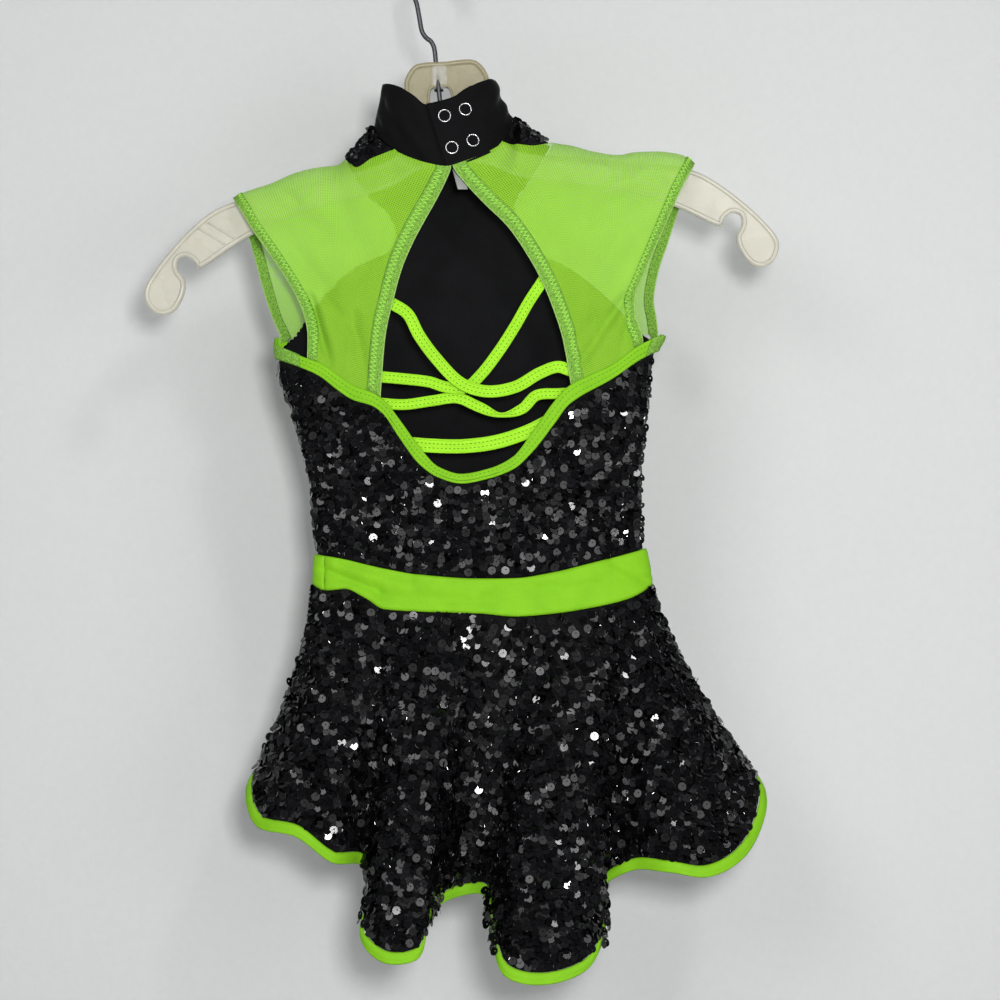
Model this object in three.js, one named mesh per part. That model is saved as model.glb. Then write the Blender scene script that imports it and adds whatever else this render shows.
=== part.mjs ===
// Child's skirted dance leotard on a plastic hanger, seen from its back.
// Millimetres, +Z up. The garment's back faces -Y. The origin is under the crown of the hanger's hook.
import * as THREE from 'three';

// Driving sizes
const SEAM_GAP = 0.3;
const WALL = { sequin: 1.6, mesh: 1.0, band: 1.8, spandex: 1.6, velvet: 1.8, strap: 1.4, label: 1.0 };
const ARMHOLE_BAND_WIDTH = 6;
const KEYHOLE_BAND_WIDTH = 8;
const HEM_BINDING_WIDTH = 6;
const ARM_CLEARANCE = 5.2;
const ROLL_HEIGHT_RATIO = 1.2;
const SECTION_POWER = 2.4;
const COLLAR_REACH = 26;
const NECK_EASE = 2.0;
const SNAP = { outerRadius: 3.75, innerRadius: 2.5, thickness: 0.9 };
const HANGER = { thickness: 5, tilt: THREE.MathUtils.degToRad(4.6), centreX: -0.9, centreZ: -58.4 };
const HOOK = { wireRadius: 1.3, bendRadius: 17 };

// Body sections: the garment's left and right edge and half depths, top to waist
const BODY = [
  { z: -78, left: -136, right: 154, back: 22, front: 22, edge: ARM_CLEARANCE },
  { z: -112, left: -136, right: 153, back: 21.5, front: 21, edge: ARM_CLEARANCE },
  { z: -130, left: -132, right: 147, back: 20, front: 19, edge: ARM_CLEARANCE },
  { z: -150, left: -123, right: 134, back: 18.5, front: 18, edge: 6 },
  { z: -180, left: -109, right: 125, back: 17, front: 18, edge: 6.5 },
  { z: -203, left: -99.5, right: 123, back: 16, front: 18, edge: 5 },
  { z: -214, left: -96.6, right: 118.5, back: 16, front: 18, edge: 0 },
  { z: -226, left: -95.7, right: 116, back: 16, front: 18, edge: 0 },
  { z: -253, left: -87.5, right: 113.5, back: 16, front: 17, edge: 0 },
  { z: -274, left: -81.5, right: 111, back: 16, front: 17, edge: 0 },
  { z: -296, left: -77.2, right: 110, back: 16, front: 16, edge: 0 },
  { z: -315, left: -76.5, right: 110.4, back: 16.5, front: 16, edge: 0 },
  { z: -330, left: -74.5, right: 112.2, back: 17, front: 16, edge: 0 },
  { z: -345, left: -75.5, right: 115, back: 17.5, front: 17, edge: 0 },
  { z: -365, left: -77, right: 117, back: 18, front: 18, edge: 0 },
];

// Ridge of the shoulders over the hanger's arms, from armhole to armhole
const CREST = [
  { x: -122, z: -129.5 }, { x: -114, z: -125 }, { x: -100, z: -120.4 }, { x: -85, z: -114 },
  { x: -72, z: -111.1 }, { x: -62, z: -110 }, { x: -56.5, z: -105.5 }, { x: -50, z: -99.5 },
  { x: -41, z: -88.5 }, { x: -20, z: -80 }, { x: 10, z: -77 }, { x: 37.2, z: -84.5 },
  { x: 48, z: -91.5 }, { x: 58, z: -97 }, { x: 70, z: -99 }, { x: 82, z: -102.2 },
  { x: 96, z: -104.2 }, { x: 106, z: -102.6 }, { x: 118, z: -102.2 }, { x: 132, z: -104 },
  { x: 140, z: -109.8 },
];

// Collar: an elliptic band, its foot and its top edge, by angle from the left side round the back
const COLLAR = {
  foot: { x: -1.8, halfWidth: 39, halfDepth: 22.5 },
  top: { x: -5, halfWidth: 31, halfDepth: 19.5 },
  lap: 1.3,
  underEnd: 128,
  overEndTop: -281,
  overEndFoot: -268,
};
const COLLAR_EDGE = [
  { angle: 0, foot: -88, top: -65 },
  { angle: 25, foot: -95.5, top: -65.5 },
  { angle: 45, foot: -102.5, top: -68 },
  { angle: 62, foot: -108, top: -73 },
  { angle: 78, foot: -111.8, top: -79 },
  { angle: 92, foot: -113.6, top: -77.6 },
  { angle: 106, foot: -110.8, top: -75 },
  { angle: 120, foot: -107, top: -70 },
  { angle: 138, foot: -101, top: -65.5 },
  { angle: 155, foot: -93.5, top: -63.2 },
  { angle: 180, foot: -84, top: -64 },
  { angle: 225, foot: -96, top: -67 },
  { angle: 270, foot: -106, top: -71 },
  { angle: 315, foot: -98, top: -68.5 },
  { angle: 360, foot: -88, top: -65 },
];
const SNAPS = [
  { x: -1.1, drop: 0.25 }, { x: 10.1, drop: 0.28 }, { x: 3.0, drop: 0.76 }, { x: 14.3, drop: 0.77 },
];

// Seams between the sequin shoulder pieces and the back yokes
const SHOULDER_SEAM = {
  left: [{ x: -56.5, z: -106 }, { x: -50.5, z: -113.6 }, { x: -40, z: -107.5 }, { x: -29, z: -103 }],
  right: [{ x: 30, z: -97.6 }, { x: 37, z: -100.4 }, { x: 47, z: -101.2 }, { x: 58, z: -98 }],
};

// Shares of the front bodice's height at the top of its side seams and at the yokes' corners
const BODICE_SIDE = 0.42;
const BODICE_UNDERARM = 0.52;

// Open edges: x of each edge by height
const ARMHOLE_BACK = {
  left: [
    { z: -129, x: -120.5 }, { z: -138, x: -114.4 }, { z: -148, x: -108.4 }, { z: -159, x: -100.6 },
    { z: -171, x: -92.4 }, { z: -184, x: -84.5 }, { z: -196, x: -79.6 }, { z: -206, x: -77.8 },
    { z: -221, x: -78.2 },
  ],
  right: [
    { z: -110, x: 139 }, { z: -126, x: 130.3 }, { z: -135, x: 126.3 }, { z: -158, x: 116.2 },
    { z: -174, x: 109.2 }, { z: -185, x: 105 }, { z: -193, x: 104.9 }, { z: -206, x: 109 },
    { z: -214, x: 110.6 },
  ],
};
const ARMHOLE_FRONT = {
  left: [
    { z: -129, x: -120.5 }, { z: -150, x: -113.3 }, { z: -164, x: -109.3 }, { z: -179, x: -105.2 },
    { z: -195, x: -99.9 }, { z: -205, x: -95.4 },
  ],
  right: [
    { z: -110, x: 139 }, { z: -132, x: 132 }, { z: -152, x: 125.4 }, { z: -171, x: 119.4 },
    { z: -185, x: 117.3 }, { z: -196, x: 118.8 }, { z: -203, x: 119.5 },
  ],
};
const KEYHOLE = {
  left: [
    { z: -112, x: 1 }, { z: -119.5, x: -0.2 }, { z: -130, x: -4.5 }, { z: -143, x: -12 },
    { z: -156, x: -19 }, { z: -170, x: -25 }, { z: -184, x: -29 }, { z: -208, x: -34.4 },
    { z: -239, x: -37 },
  ],
  right: [
    { z: -112, x: 2.4 }, { z: -122, x: 9.3 }, { z: -133.5, x: 20.2 }, { z: -147, x: 34.1 },
    { z: -161, x: 44 }, { z: -173, x: 51 }, { z: -186, x: 57 }, { z: -210, x: 65 },
    { z: -236, x: 69.6 },
  ],
};

// Seams between the front bodice and the front yokes, from the shoulder to the underarm
const HALTER_SEAM = {
  left: [
    { x: -57, z: -106.5 }, { x: -45, z: -124 }, { x: -34, z: -133 }, { x: -28.5, z: -147 },
    { x: -33, z: -158 }, { x: -54, z: -168 }, { x: -72, z: -185 }, { x: -87, z: -207 },
  ],
  right: [
    { x: 58.5, z: -97.6 }, { x: 46, z: -116 }, { x: 38, z: -129 }, { x: 41, z: -149 },
    { x: 53, z: -159.5 }, { x: 71, z: -168 }, { x: 92, z: -184 }, { x: 111, z: -205 },
  ],
};

// Binding on the back bodice's scooped top
const BACK_BINDING = [
  { x: -97, upper: -212, lower: -219 },
  { x: -78, upper: -220, lower: -226 },
  { x: -71, upper: -222.5, lower: -229.5 },
  { x: -60, upper: -230, lower: -238 },
  { x: -52, upper: -235.5, lower: -243 },
  { x: -42, upper: -239, lower: -246 },
  { x: -35, upper: -243.5, lower: -251 },
  { x: -27, upper: -253.5, lower: -263 },
  { x: -15, upper: -270, lower: -279 },
  { x: -5, upper: -280.5, lower: -286 },
  { x: 8, upper: -284.6, lower: -289.5 },
  { x: 24, upper: -281.5, lower: -286.5 },
  { x: 37, upper: -275, lower: -281.5 },
  { x: 48, upper: -261, lower: -271.5 },
  { x: 60, upper: -244, lower: -256 },
  { x: 68, upper: -235.5, lower: -245.5 },
  { x: 93, upper: -223, lower: -230.5 },
  { x: 109, upper: -211.5, lower: -219.5 },
  { x: 119, upper: -207, lower: -214.5 },
];
// The binding's ends under each arm: share of the tube's width reached, and rise, at its two edges
const BINDING_UNDERARM = {
  reach: { upper: 0.05, lower: 0.12 },
  left: { upper: 5.7, lower: 10.2 },
  right: { upper: 2.3, lower: 7.4 },
};

// Waistband edges by x, on the back, and plain on the front
const WAIST_BACK = [
  { x: -78, top: -329.5, bottom: -345 },
  { x: -68, top: -330.4, bottom: -349.5 },
  { x: -57, top: -332.2, bottom: -348.6 },
  { x: -45, top: -335, bottom: -353.8 },
  { x: -35, top: -337.2, bottom: -359.6 },
  { x: -16, top: -340.4, bottom: -360.9 },
  { x: 18, top: -342.7, bottom: -361.9 },
  { x: 38, top: -342.4, bottom: -363.6 },
  { x: 57, top: -339.7, bottom: -362.3 },
  { x: 82, top: -333.8, bottom: -358.6 },
  { x: 103, top: -328.6, bottom: -353.5 },
  { x: 118, top: -324.6, bottom: -345 },
];
const WAIST_FRONT = [
  { x: -78, top: -329.5, bottom: -345 },
  { x: -68, top: -330.4, bottom: -349.5 },
  { x: -30, top: -334, bottom: -356 },
  { x: 20, top: -336, bottom: -358 },
  { x: 70, top: -334, bottom: -356.5 },
  { x: 103, top: -328.6, bottom: -353.5 },
  { x: 118, top: -324.6, bottom: -345 },
];

// Skirt folds at the hem: share of the way round the waist from the left side over the back,
// place of the fold, and how late down the skirt it opens
const SKIRT_FOLDS = [
  { share: 0.0, x: -113.5, y: 0, z: -464, ease: 1.6 },
  { share: 0.03, x: -105, y: -20, z: -480, ease: 1.5 },
  { share: 0.07, x: -82, y: -32, z: -484, ease: 1.3 },
  { share: 0.11, x: -63, y: -31, z: -498, ease: 1.2 },
  { share: 0.145, x: -47, y: -14, z: -503, ease: 1.2 },
  { share: 0.165, x: -42, y: -26, z: -520, ease: 1.2 },
  { share: 0.18, x: -45.5, y: -43, z: -538, ease: 1.2 },
  { share: 0.2, x: -32, y: -55, z: -548, ease: 1.2 },
  { share: 0.22, x: -15, y: -53, z: -546, ease: 1.2 },
  { share: 0.235, x: -11, y: -39, z: -532, ease: 1.2 },
  { share: 0.25, x: -3, y: -19, z: -523, ease: 1.2 },
  { share: 0.27, x: 10, y: -11, z: -519.6, ease: 1.2 },
  { share: 0.29, x: 21, y: -19, z: -518.6, ease: 1.2 },
  { share: 0.305, x: 25.2, y: -38, z: -537, ease: 1.2 },
  { share: 0.325, x: 33, y: -56, z: -555, ease: 1.2 },
  { share: 0.35, x: 53, y: -59, z: -558.6, ease: 1.2 },
  { share: 0.375, x: 76.5, y: -51, z: -552, ease: 1.2 },
  { share: 0.39, x: 86, y: -36, z: -536, ease: 1.2 },
  { share: 0.405, x: 84.5, y: -16, z: -517, ease: 1.2 },
  { share: 0.425, x: 103, y: -22, z: -504, ease: 1.2 },
  { share: 0.445, x: 122, y: -36, z: -502.5, ease: 1.25 },
  { share: 0.465, x: 144, y: -36, z: -505, ease: 1.3 },
  { share: 0.485, x: 166, y: -23, z: -495, ease: 1.3 },
  { share: 0.5, x: 180, y: 0, z: -469, ease: 1.3 },
  { share: 0.525, x: 174, y: 20, z: -456, ease: 1.3 },
  { share: 0.58, x: 148, y: 34, z: -453, ease: 1.25 },
  { share: 0.64, x: 122, y: 22, z: -451, ease: 1.2 },
  { share: 0.69, x: 98, y: 37, z: -454, ease: 1.2 },
  { share: 0.74, x: 62, y: 40, z: -456, ease: 1.2 },
  { share: 0.79, x: 38, y: 25, z: -453, ease: 1.2 },
  { share: 0.84, x: 8, y: 38, z: -456, ease: 1.2 },
  { share: 0.885, x: -30, y: 40, z: -456, ease: 1.2 },
  { share: 0.925, x: -58, y: 25, z: -453, ease: 1.2 },
  { share: 0.96, x: -90, y: 31, z: -455, ease: 1.3 },
  { share: 0.985, x: -109, y: 17, z: -457, ease: 1.5 },
];
const SKIRT_RIGHT_FOLD = 23;
const COLUMNS_PER_FOLD = 3;

// Brief: half width and half depth from the waist down to the crotch, front then back
const BRIEF = [
  { side: 1, z: -346, halfWidth: 92, depth: 14.6 },
  { side: 1, z: -372, halfWidth: 90.5, depth: 12.6 },
  { side: 1, z: -398, halfWidth: 88, depth: 12 },
  { side: 1, z: -425, halfWidth: 58, depth: 11 },
  { side: 1, z: -455, halfWidth: 32, depth: 10 },
  { side: 1, z: -485, halfWidth: 19, depth: 7 },
  { side: 0, z: -496, halfWidth: 17, depth: 0 },
  { side: -1, z: -485, halfWidth: 24, depth: 7 },
  { side: -1, z: -455, halfWidth: 48, depth: 10 },
  { side: -1, z: -425, halfWidth: 76, depth: 11 },
  { side: -1, z: -398, halfWidth: 88, depth: 12 },
  { side: -1, z: -372, halfWidth: 90.5, depth: 12.6 },
  { side: -1, z: -346, halfWidth: 92, depth: 14.6 },
];
const BRIEF_CENTRE_X = 19.9;

// Straps across the open back: width, and centre line with how far it stands out from the bands' inside
const STRAPS = {
  strap_a: {
    width: 6.8,
    points: [
      { x: -31, z: -189, out: 0 }, { x: -22, z: -195, out: 1 }, { x: -15.5, z: -207, out: 2 },
      { x: -6, z: -220, out: 4 }, { x: 8, z: -234, out: 5 }, { x: 22, z: -238.5, out: 5 },
      { x: 38, z: -236, out: 3 }, { x: 52, z: -228, out: 1 }, { x: 62, z: -224.5, out: 0 },
      { x: 69, z: -226.5, out: 0 },
    ],
  },
  strap_b: {
    width: 6.4,
    points: [
      { x: -38, z: -230, out: 0 }, { x: -22, z: -231.5, out: 0.5 }, { x: -10, z: -233, out: 1 },
      { x: 0, z: -236, out: 1.4 }, { x: 11, z: -236, out: 1.6 }, { x: 19, z: -229, out: 1.6 },
      { x: 29, z: -216, out: 1.4 }, { x: 38, z: -202, out: 1 }, { x: 46, z: -188, out: 0.4 },
      { x: 54, z: -176, out: 0 },
    ],
  },
  strap_c: {
    width: 6.2,
    points: [
      { x: -39, z: -244.6, out: -1 }, { x: -24, z: -245.6, out: -0.6 }, { x: -8, z: -243.5, out: 0 },
      { x: 6, z: -242, out: 0 }, { x: 18, z: -247, out: 0 }, { x: 30, z: -251.5, out: 0 },
      { x: 42, z: -248, out: 0 }, { x: 50, z: -240.5, out: -0.6 }, { x: 62, z: -239.4, out: -1 },
      { x: 71, z: -239, out: -1 },
    ],
  },
  strap_d: {
    width: 8,
    points: [
      { x: -27, z: -267, out: -1 }, { x: -8, z: -268.6, out: 0 }, { x: 10, z: -268.8, out: 0 },
      { x: 28, z: -266.4, out: 0 }, { x: 46, z: -260.4, out: -1 }, { x: 56, z: -255.4, out: -1 },
    ],
  },
};

// Half outline of the hanger in its own level frame, from the hub's top to the arm's end and back
const HANGER_OUTLINE = [
  { x: 0, z: 7 }, { x: 15, z: 7 }, { x: 19, z: 5 }, { x: 23.5, z: -2 }, { x: 24, z: -9 },
  { x: 22, z: -26 }, { x: 26, z: -38 }, { x: 36, z: -46 }, { x: 50, z: -50 }, { x: 64, z: -52 },
  { x: 80, z: -54.6 }, { x: 95, z: -57.4 }, { x: 110, z: -60 }, { x: 125, z: -62.4 },
  { x: 138, z: -67 }, { x: 149, z: -74.4 }, { x: 162, z: -86 }, { x: 173, z: -98 },
  { x: 179, z: -107 }, { x: 179.6, z: -113 }, { x: 175.5, z: -120.6 }, { x: 168.5, z: -123 },
  { x: 162, z: -119.6 }, { x: 156.4, z: -109 }, { x: 156.6, z: -103.6 }, { x: 159.6, z: -98.4 },
  { x: 159.4, z: -93 }, { x: 154.8, z: -91 }, { x: 150, z: -94.4 }, { x: 148.6, z: -98.4 },
  { x: 144.5, z: -97 }, { x: 127, z: -87 }, { x: 112, z: -80 }, { x: 90, z: -73 },
  { x: 60, z: -66 }, { x: 36, z: -61 }, { x: 20, z: -53 }, { x: 0, z: -50 },
];

// Hook wire: from the hub up its jogged shank, then round the crown
const HOOK_SHANK = [
  { x: -6.1, z: -51.25 }, { x: -8.4, z: -42 }, { x: -12.4, z: -34.4 }, { x: -15.4, z: -27 },
  { x: -18, z: -18.6 },
];
const HOOK_ARC = { from: 176, to: 3, steps: 12 };

/** Smooth value of one column of a table at a key, without overshoot (monotone cubic). */
function tableValue(rows, key, column, at) {
  const keys = rows.map((row) => row[key]);
  const values = rows.map((row) => row[column]);
  const rising = keys[keys.length - 1] > keys[0] ? 1 : -1;
  const last = keys.length - 1;
  if ((at - keys[0]) * rising <= 0) return values[0];
  if ((at - keys[last]) * rising >= 0) return values[last];
  let i = 0;
  while ((at - keys[i + 1]) * rising > 0) i += 1;
  const slope = (k) => (values[k + 1] - values[k]) / (keys[k + 1] - keys[k]);
  const tangent = (k) => {
    if (k === 0) return slope(0);
    if (k === last) return slope(last - 1);
    const before = slope(k - 1);
    const after = slope(k);
    return before * after <= 0 ? 0 : (2 * before * after) / (before + after);
  };
  const span = keys[i + 1] - keys[i];
  const t = (at - keys[i]) / span;
  const t2 = t * t;
  const t3 = t2 * t;
  return (2 * t3 - 3 * t2 + 1) * values[i] + (t3 - 2 * t2 + t) * span * tangent(i)
    + (3 * t2 - 2 * t3) * values[i + 1] + (t3 - t2) * span * tangent(i + 1);
}

const lerp = THREE.MathUtils.lerp;
const clamp = THREE.MathUtils.clamp;
const steps = (count) => Array.from({ length: count + 1 }, (unused, i) => i / count);
const curveThrough = (points, closed = false) => new THREE.CatmullRomCurve3(
  points.map((p) => new THREE.Vector3(p.x, p.y ?? 0, p.z)), closed, 'centripetal');

/** Closed wall about a surface point(u, v), at lists of u and v, kept on its own face of the seams. */
function wallGeometry(point, us, vs, thickness, face) {
  const step = 1e-4;
  const positions = [];
  const columns = us.length;
  const rowsCount = vs.length;
  for (const side of [0.5, -0.5]) {
    for (const v of vs) {
      for (const u of us) {
        const along = point(Math.min(u + step, us[columns - 1]), v).sub(point(Math.max(u - step, us[0]), v));
        const down = point(u, Math.min(v + step, vs[rowsCount - 1])).sub(point(u, Math.max(v - step, vs[0])));
        const normal = along.cross(down).normalize();
        const place = point(u, v).addScaledVector(normal, side * thickness);
        if (face === 'back') place.y = Math.min(place.y, -SEAM_GAP / 2);
        if (face === 'front') place.y = Math.max(place.y, SEAM_GAP / 2);
        positions.push(...place.toArray());
      }
    }
  }
  const sheet = columns * rowsCount;
  const id = (layer, row, column) => layer * sheet + row * columns + column;
  const index = [];
  const quad = (a, b, c, d) => index.push(a, b, c, a, c, d);
  for (let row = 0; row < rowsCount - 1; row += 1) {
    for (let column = 0; column < columns - 1; column += 1) {
      quad(id(0, row, column), id(0, row, column + 1), id(0, row + 1, column + 1), id(0, row + 1, column));
      quad(id(1, row, column), id(1, row + 1, column), id(1, row + 1, column + 1), id(1, row, column + 1));
    }
  }
  const last = rowsCount - 1;
  const end = columns - 1;
  for (let column = 0; column < end; column += 1) {
    quad(id(0, 0, column), id(1, 0, column), id(1, 0, column + 1), id(0, 0, column + 1));
    quad(id(0, last, column), id(0, last, column + 1), id(1, last, column + 1), id(1, last, column));
  }
  for (let row = 0; row < last; row += 1) {
    quad(id(0, row, 0), id(0, row + 1, 0), id(1, row + 1, 0), id(1, row, 0));
    quad(id(0, row, end), id(1, row, end), id(1, row + 1, end), id(0, row + 1, end));
  }
  const geometry = new THREE.BufferGeometry();
  geometry.setAttribute('position', new THREE.Float32BufferAttribute(positions, 3));
  geometry.setIndex(signedVolume(positions, index) < 0 ? flipped(index) : index);
  geometry.computeVertexNormals();
  return geometry;
}

/** Six times the volume inside an indexed surface, negative when its faces point in. */
function signedVolume(positions, index) {
  const corner = (i) => new THREE.Vector3().fromArray(positions, index[i] * 3);
  let volume = 0;
  for (let i = 0; i < index.length; i += 3) volume += corner(i).dot(corner(i + 1).cross(corner(i + 2)));
  return volume;
}

function flipped(index) {
  const result = [];
  for (let i = 0; i < index.length; i += 3) result.push(index[i], index[i + 2], index[i + 1]);
  return result;
}

// Body surface
const bodyLeft = (z) => tableValue(BODY, 'z', 'left', z);
const bodyRight = (z) => tableValue(BODY, 'z', 'right', z);
const crestZ = (x) => tableValue(CREST, 'x', 'z', x);

/** Half depth of the garment at x and z: a rounded section, rolled over at the shoulder ridge. */
function bodyDepth(x, z, face) {
  const left = bodyLeft(z);
  const right = bodyRight(z);
  const across = clamp(Math.abs((2 * x - left - right) / (right - left)), 0, 1);
  const edge = tableValue(BODY, 'z', 'edge', z);
  const round = (1 - across ** SECTION_POWER) ** (1 / SECTION_POWER);
  const depth = edge + (tableValue(BODY, 'z', face, z) - edge) * round;
  const under = clamp((crestZ(x) - z) / (ROLL_HEIGHT_RATIO * depth), 0, 1);
  return SEAM_GAP / 2 + depth * Math.sqrt(1 - (1 - under) ** 2);
}

const faceSign = { back: -1, front: 1 };

/** Point of the collar's edge at an angle in degrees: drop 0 is its top edge, 1 its foot. */
function collarPoint(angle, drop, lapOffset = 0) {
  const turn = ((angle % 360) + 360) % 360;
  const radians = THREE.MathUtils.degToRad(angle);
  const centre = lerp(COLLAR.top.x, COLLAR.foot.x, drop);
  const halfWidth = lerp(COLLAR.top.halfWidth, COLLAR.foot.halfWidth, drop) + lapOffset;
  const halfDepth = lerp(COLLAR.top.halfDepth, COLLAR.foot.halfDepth, drop) + lapOffset;
  const z = lerp(tableValue(COLLAR_EDGE, 'angle', 'top', turn), tableValue(COLLAR_EDGE, 'angle', 'foot', turn), drop);
  return new THREE.Vector3(centre - halfWidth * Math.cos(radians), -halfDepth * Math.sin(radians), z);
}

const FOOT_LEFT = COLLAR.foot.x - COLLAR.foot.halfWidth - NECK_EASE;
const FOOT_RIGHT = COLLAR.foot.x + COLLAR.foot.halfWidth + NECK_EASE;

/** Point of the panels' neck edge over x, just outside the collar's foot and below it. */
function neckEdge(x, face) {
  const cosine = clamp((COLLAR.foot.x - x) / (COLLAR.foot.halfWidth + NECK_EASE), -1, 1);
  const angle = THREE.MathUtils.radToDeg(Math.acos(cosine));
  const point = collarPoint(face === 'back' ? angle : 360 - angle, 1, NECK_EASE);
  point.z -= SEAM_GAP * 2;
  return point;
}

/** Garment point at x and z, drawn to the collar's foot close below it. */
function bodyPoint(x, z, face) {
  let depth = bodyDepth(x, z, face);
  if (x > FOOT_LEFT && x < FOOT_RIGHT) {
    const foot = neckEdge(x, face);
    const near = clamp(1 - (foot.z - z) / COLLAR_REACH, 0, 1);
    depth += (Math.abs(foot.y) + SEAM_GAP / 2 - bodyDepth(x, foot.z, face)) * near * near * (3 - 2 * near);
  }
  return new THREE.Vector3(x, faceSign[face] * depth, z);
}

/** Point of the closed body tube: share 0 to 1 runs from its left to its right edge. */
function tubeX(share, z) {
  const left = bodyLeft(z);
  const right = bodyRight(z);
  return (left + right) / 2 - ((right - left) / 2) * Math.cos(Math.PI * share);
}

/** Height on the tube at a share of its width, where an edge is given by x. */
function tubeZ(share, edgeByX, start) {
  let z = start;
  for (let i = 0; i < 8; i += 1) z = edgeByX(tubeX(share, z));
  return z;
}

/** Panel of the tube between two edges that are given by x. */
function tubePanel(face, upperByX, lowerByX, start) {
  return (share, v) => {
    const z = lerp(tubeZ(share, upperByX, start), tubeZ(share, lowerByX, start), v);
    return bodyPoint(tubeX(share, z), z, face);
  };
}

const waistTable = { back: WAIST_BACK, front: WAIST_FRONT };
const waistTop = (face) => (x) => tableValue(waistTable[face], 'x', 'top', x);
const waistBottom = (face) => (x) => tableValue(waistTable[face], 'x', 'bottom', x);
const bindingUpper = (x) => tableValue(BACK_BINDING, 'x', 'upper', x);
const bindingLower = (x) => tableValue(BACK_BINDING, 'x', 'lower', x);

/** Top edge of a back yoke by x: shoulder ridge, then the shoulder seam, then the collar's foot. */
function backYokeTop(side, x) {
  const seam = SHOULDER_SEAM[side];
  const first = seam[0].x;
  const last = seam[seam.length - 1].x;
  if (x >= first && x <= last) return tableValue(seam, 'x', 'z', x) - SEAM_GAP * 1.5;
  const overShoulder = side === 'left' ? x < first : x > last;
  return overShoulder ? crestZ(x) : neckEdge(x, 'back').z;
}

/** Back yoke with its bands, as one ruled surface: u from armhole to keyhole, v from top to binding. */
function backYokeSurface(side) {
  const armhole = ARMHOLE_BACK[side];
  const keyhole = KEYHOLE[side];
  const edge = (rows, v) => {
    const topX = rows[0].x;
    const upper = backYokeTop(side, topX);
    const lower = bindingUpper(rows[rows.length - 1].x) + SEAM_GAP;
    const z = lerp(upper, lower, v);
    return { x: tableValue(rows, 'z', 'x', z), z };
  };
  const ruled = (u, v) => {
    const outer = edge(armhole, v);
    const inner = edge(keyhole, v);
    return { x: lerp(outer.x, inner.x, u), z: lerp(outer.z, inner.z, u) };
  };
  return (u, v) => {
    const row = ruled(u, v);
    const top = ruled(u, 0);
    const bottom = ruled(u, 1);
    const z = row.z + (1 - v) * (backYokeTop(side, top.x) - top.z)
      + v * (bindingUpper(bottom.x) + SEAM_GAP - bottom.z);
    return bodyPoint(row.x, Math.min(z, backYokeLimit(side, row.x)), 'back');
  };
}

const backYokeLimit = (side, x) => Math.min(crestZ(x), backYokeTop(side, x));

/** Front yoke with its band: u from armhole to halter seam, v from the ridge to the underarm. */
function frontYokeSurface(side) {
  const armhole = ARMHOLE_FRONT[side];
  const seam = halterCurve(side);
  const inward = side === 'left' ? -1 : 1;
  const ruled = (u, v) => {
    const z = lerp(crestZ(armhole[0].x), armhole[armhole.length - 1].z, v);
    const inner = seam.getPoint(v);
    return {
      x: lerp(tableValue(armhole, 'z', 'x', z), inner.x + inward * SEAM_GAP * 4.5, u),
      z: lerp(z, inner.z, u),
    };
  };
  return (u, v) => {
    const row = ruled(u, v);
    const top = ruled(u, 0);
    const z = row.z + (1 - v) ** 2 * (crestZ(top.x) - top.z);
    return bodyPoint(row.x, Math.min(z, crestZ(row.x)), 'front');
  };
}

/** Halter seam from the shoulder ridge down to the underarm. */
function halterCurve(side) {
  const [top, ...rest] = HALTER_SEAM[side];
  return curveThrough([{ x: top.x, z: crestZ(top.x) }, ...rest]);
}

/** Share of a row that a band of a given width takes, measured square to the edge. */
function bandShare(surface, v, edgeU, width) {
  const step = 0.02;
  const inwardU = edgeU === 0 ? step : 1 - step;
  const across = surface(inwardU, v).sub(surface(edgeU, v));
  const along = surface(edgeU, Math.min(v + step, 1)).sub(surface(edgeU, Math.max(v - step, 0)));
  const square = across.length() * Math.sin(across.angleTo(along));
  return clamp((width * step) / Math.max(square, 1e-6), 0, 0.8);
}

/** Surface of the middle of a yoke, between its bands. */
function betweenBands(surface, outerWidth, innerWidth) {
  return (u, v) => {
    const from = bandShare(surface, v, 0, outerWidth);
    const to = innerWidth > 0 ? 1 - bandShare(surface, v, 1, innerWidth) : 1;
    return surface(lerp(from, to, u), v);
  };
}

/** Rows gathered where the cloth rolls over the shoulder. */
const rolledRows = (count) => steps(count).map((v) => v ** 1.8);
const yokeRows = rolledRows(10);

/** Armhole band: from the front's underarm over the ridge to the back binding. */
function armholeBandSurface(side) {
  const front = frontYokeSurface(side);
  const back = backYokeSurface(side);
  const width = (surface, v) => bandShare(surface, v, 0, ARMHOLE_BAND_WIDTH - SEAM_GAP);
  return (u, v) => {
    const surface = v < 0 ? front : back;
    const row = Math.abs(v);
    const point = surface(u * width(surface, row), row);
    point.y -= Math.sign(point.y) * (SEAM_GAP / 2) * (1 - clamp(row * 20, 0, 1));
    return point;
  };
}

/** Under an arm: along 0 to 1 from the side to the yoke's corner, across 0 to 1 down the binding. */
function underarmPoint(side, along, across) {
  const { reach } = BINDING_UNDERARM;
  const rise = BINDING_UNDERARM[side];
  const share = along * lerp(reach.upper, reach.lower, across);
  const tubeShare = side === 'left' ? share : 1 - share;
  const start = side === 'left' ? 0 : 1;
  const z = lerp(tubeZ(start, bindingUpper, -214), tubeZ(start, bindingLower, -214), across)
    + along * lerp(rise.upper, rise.lower, across);
  return bodyPoint(tubeX(tubeShare, z), z, 'front');
}

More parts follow.
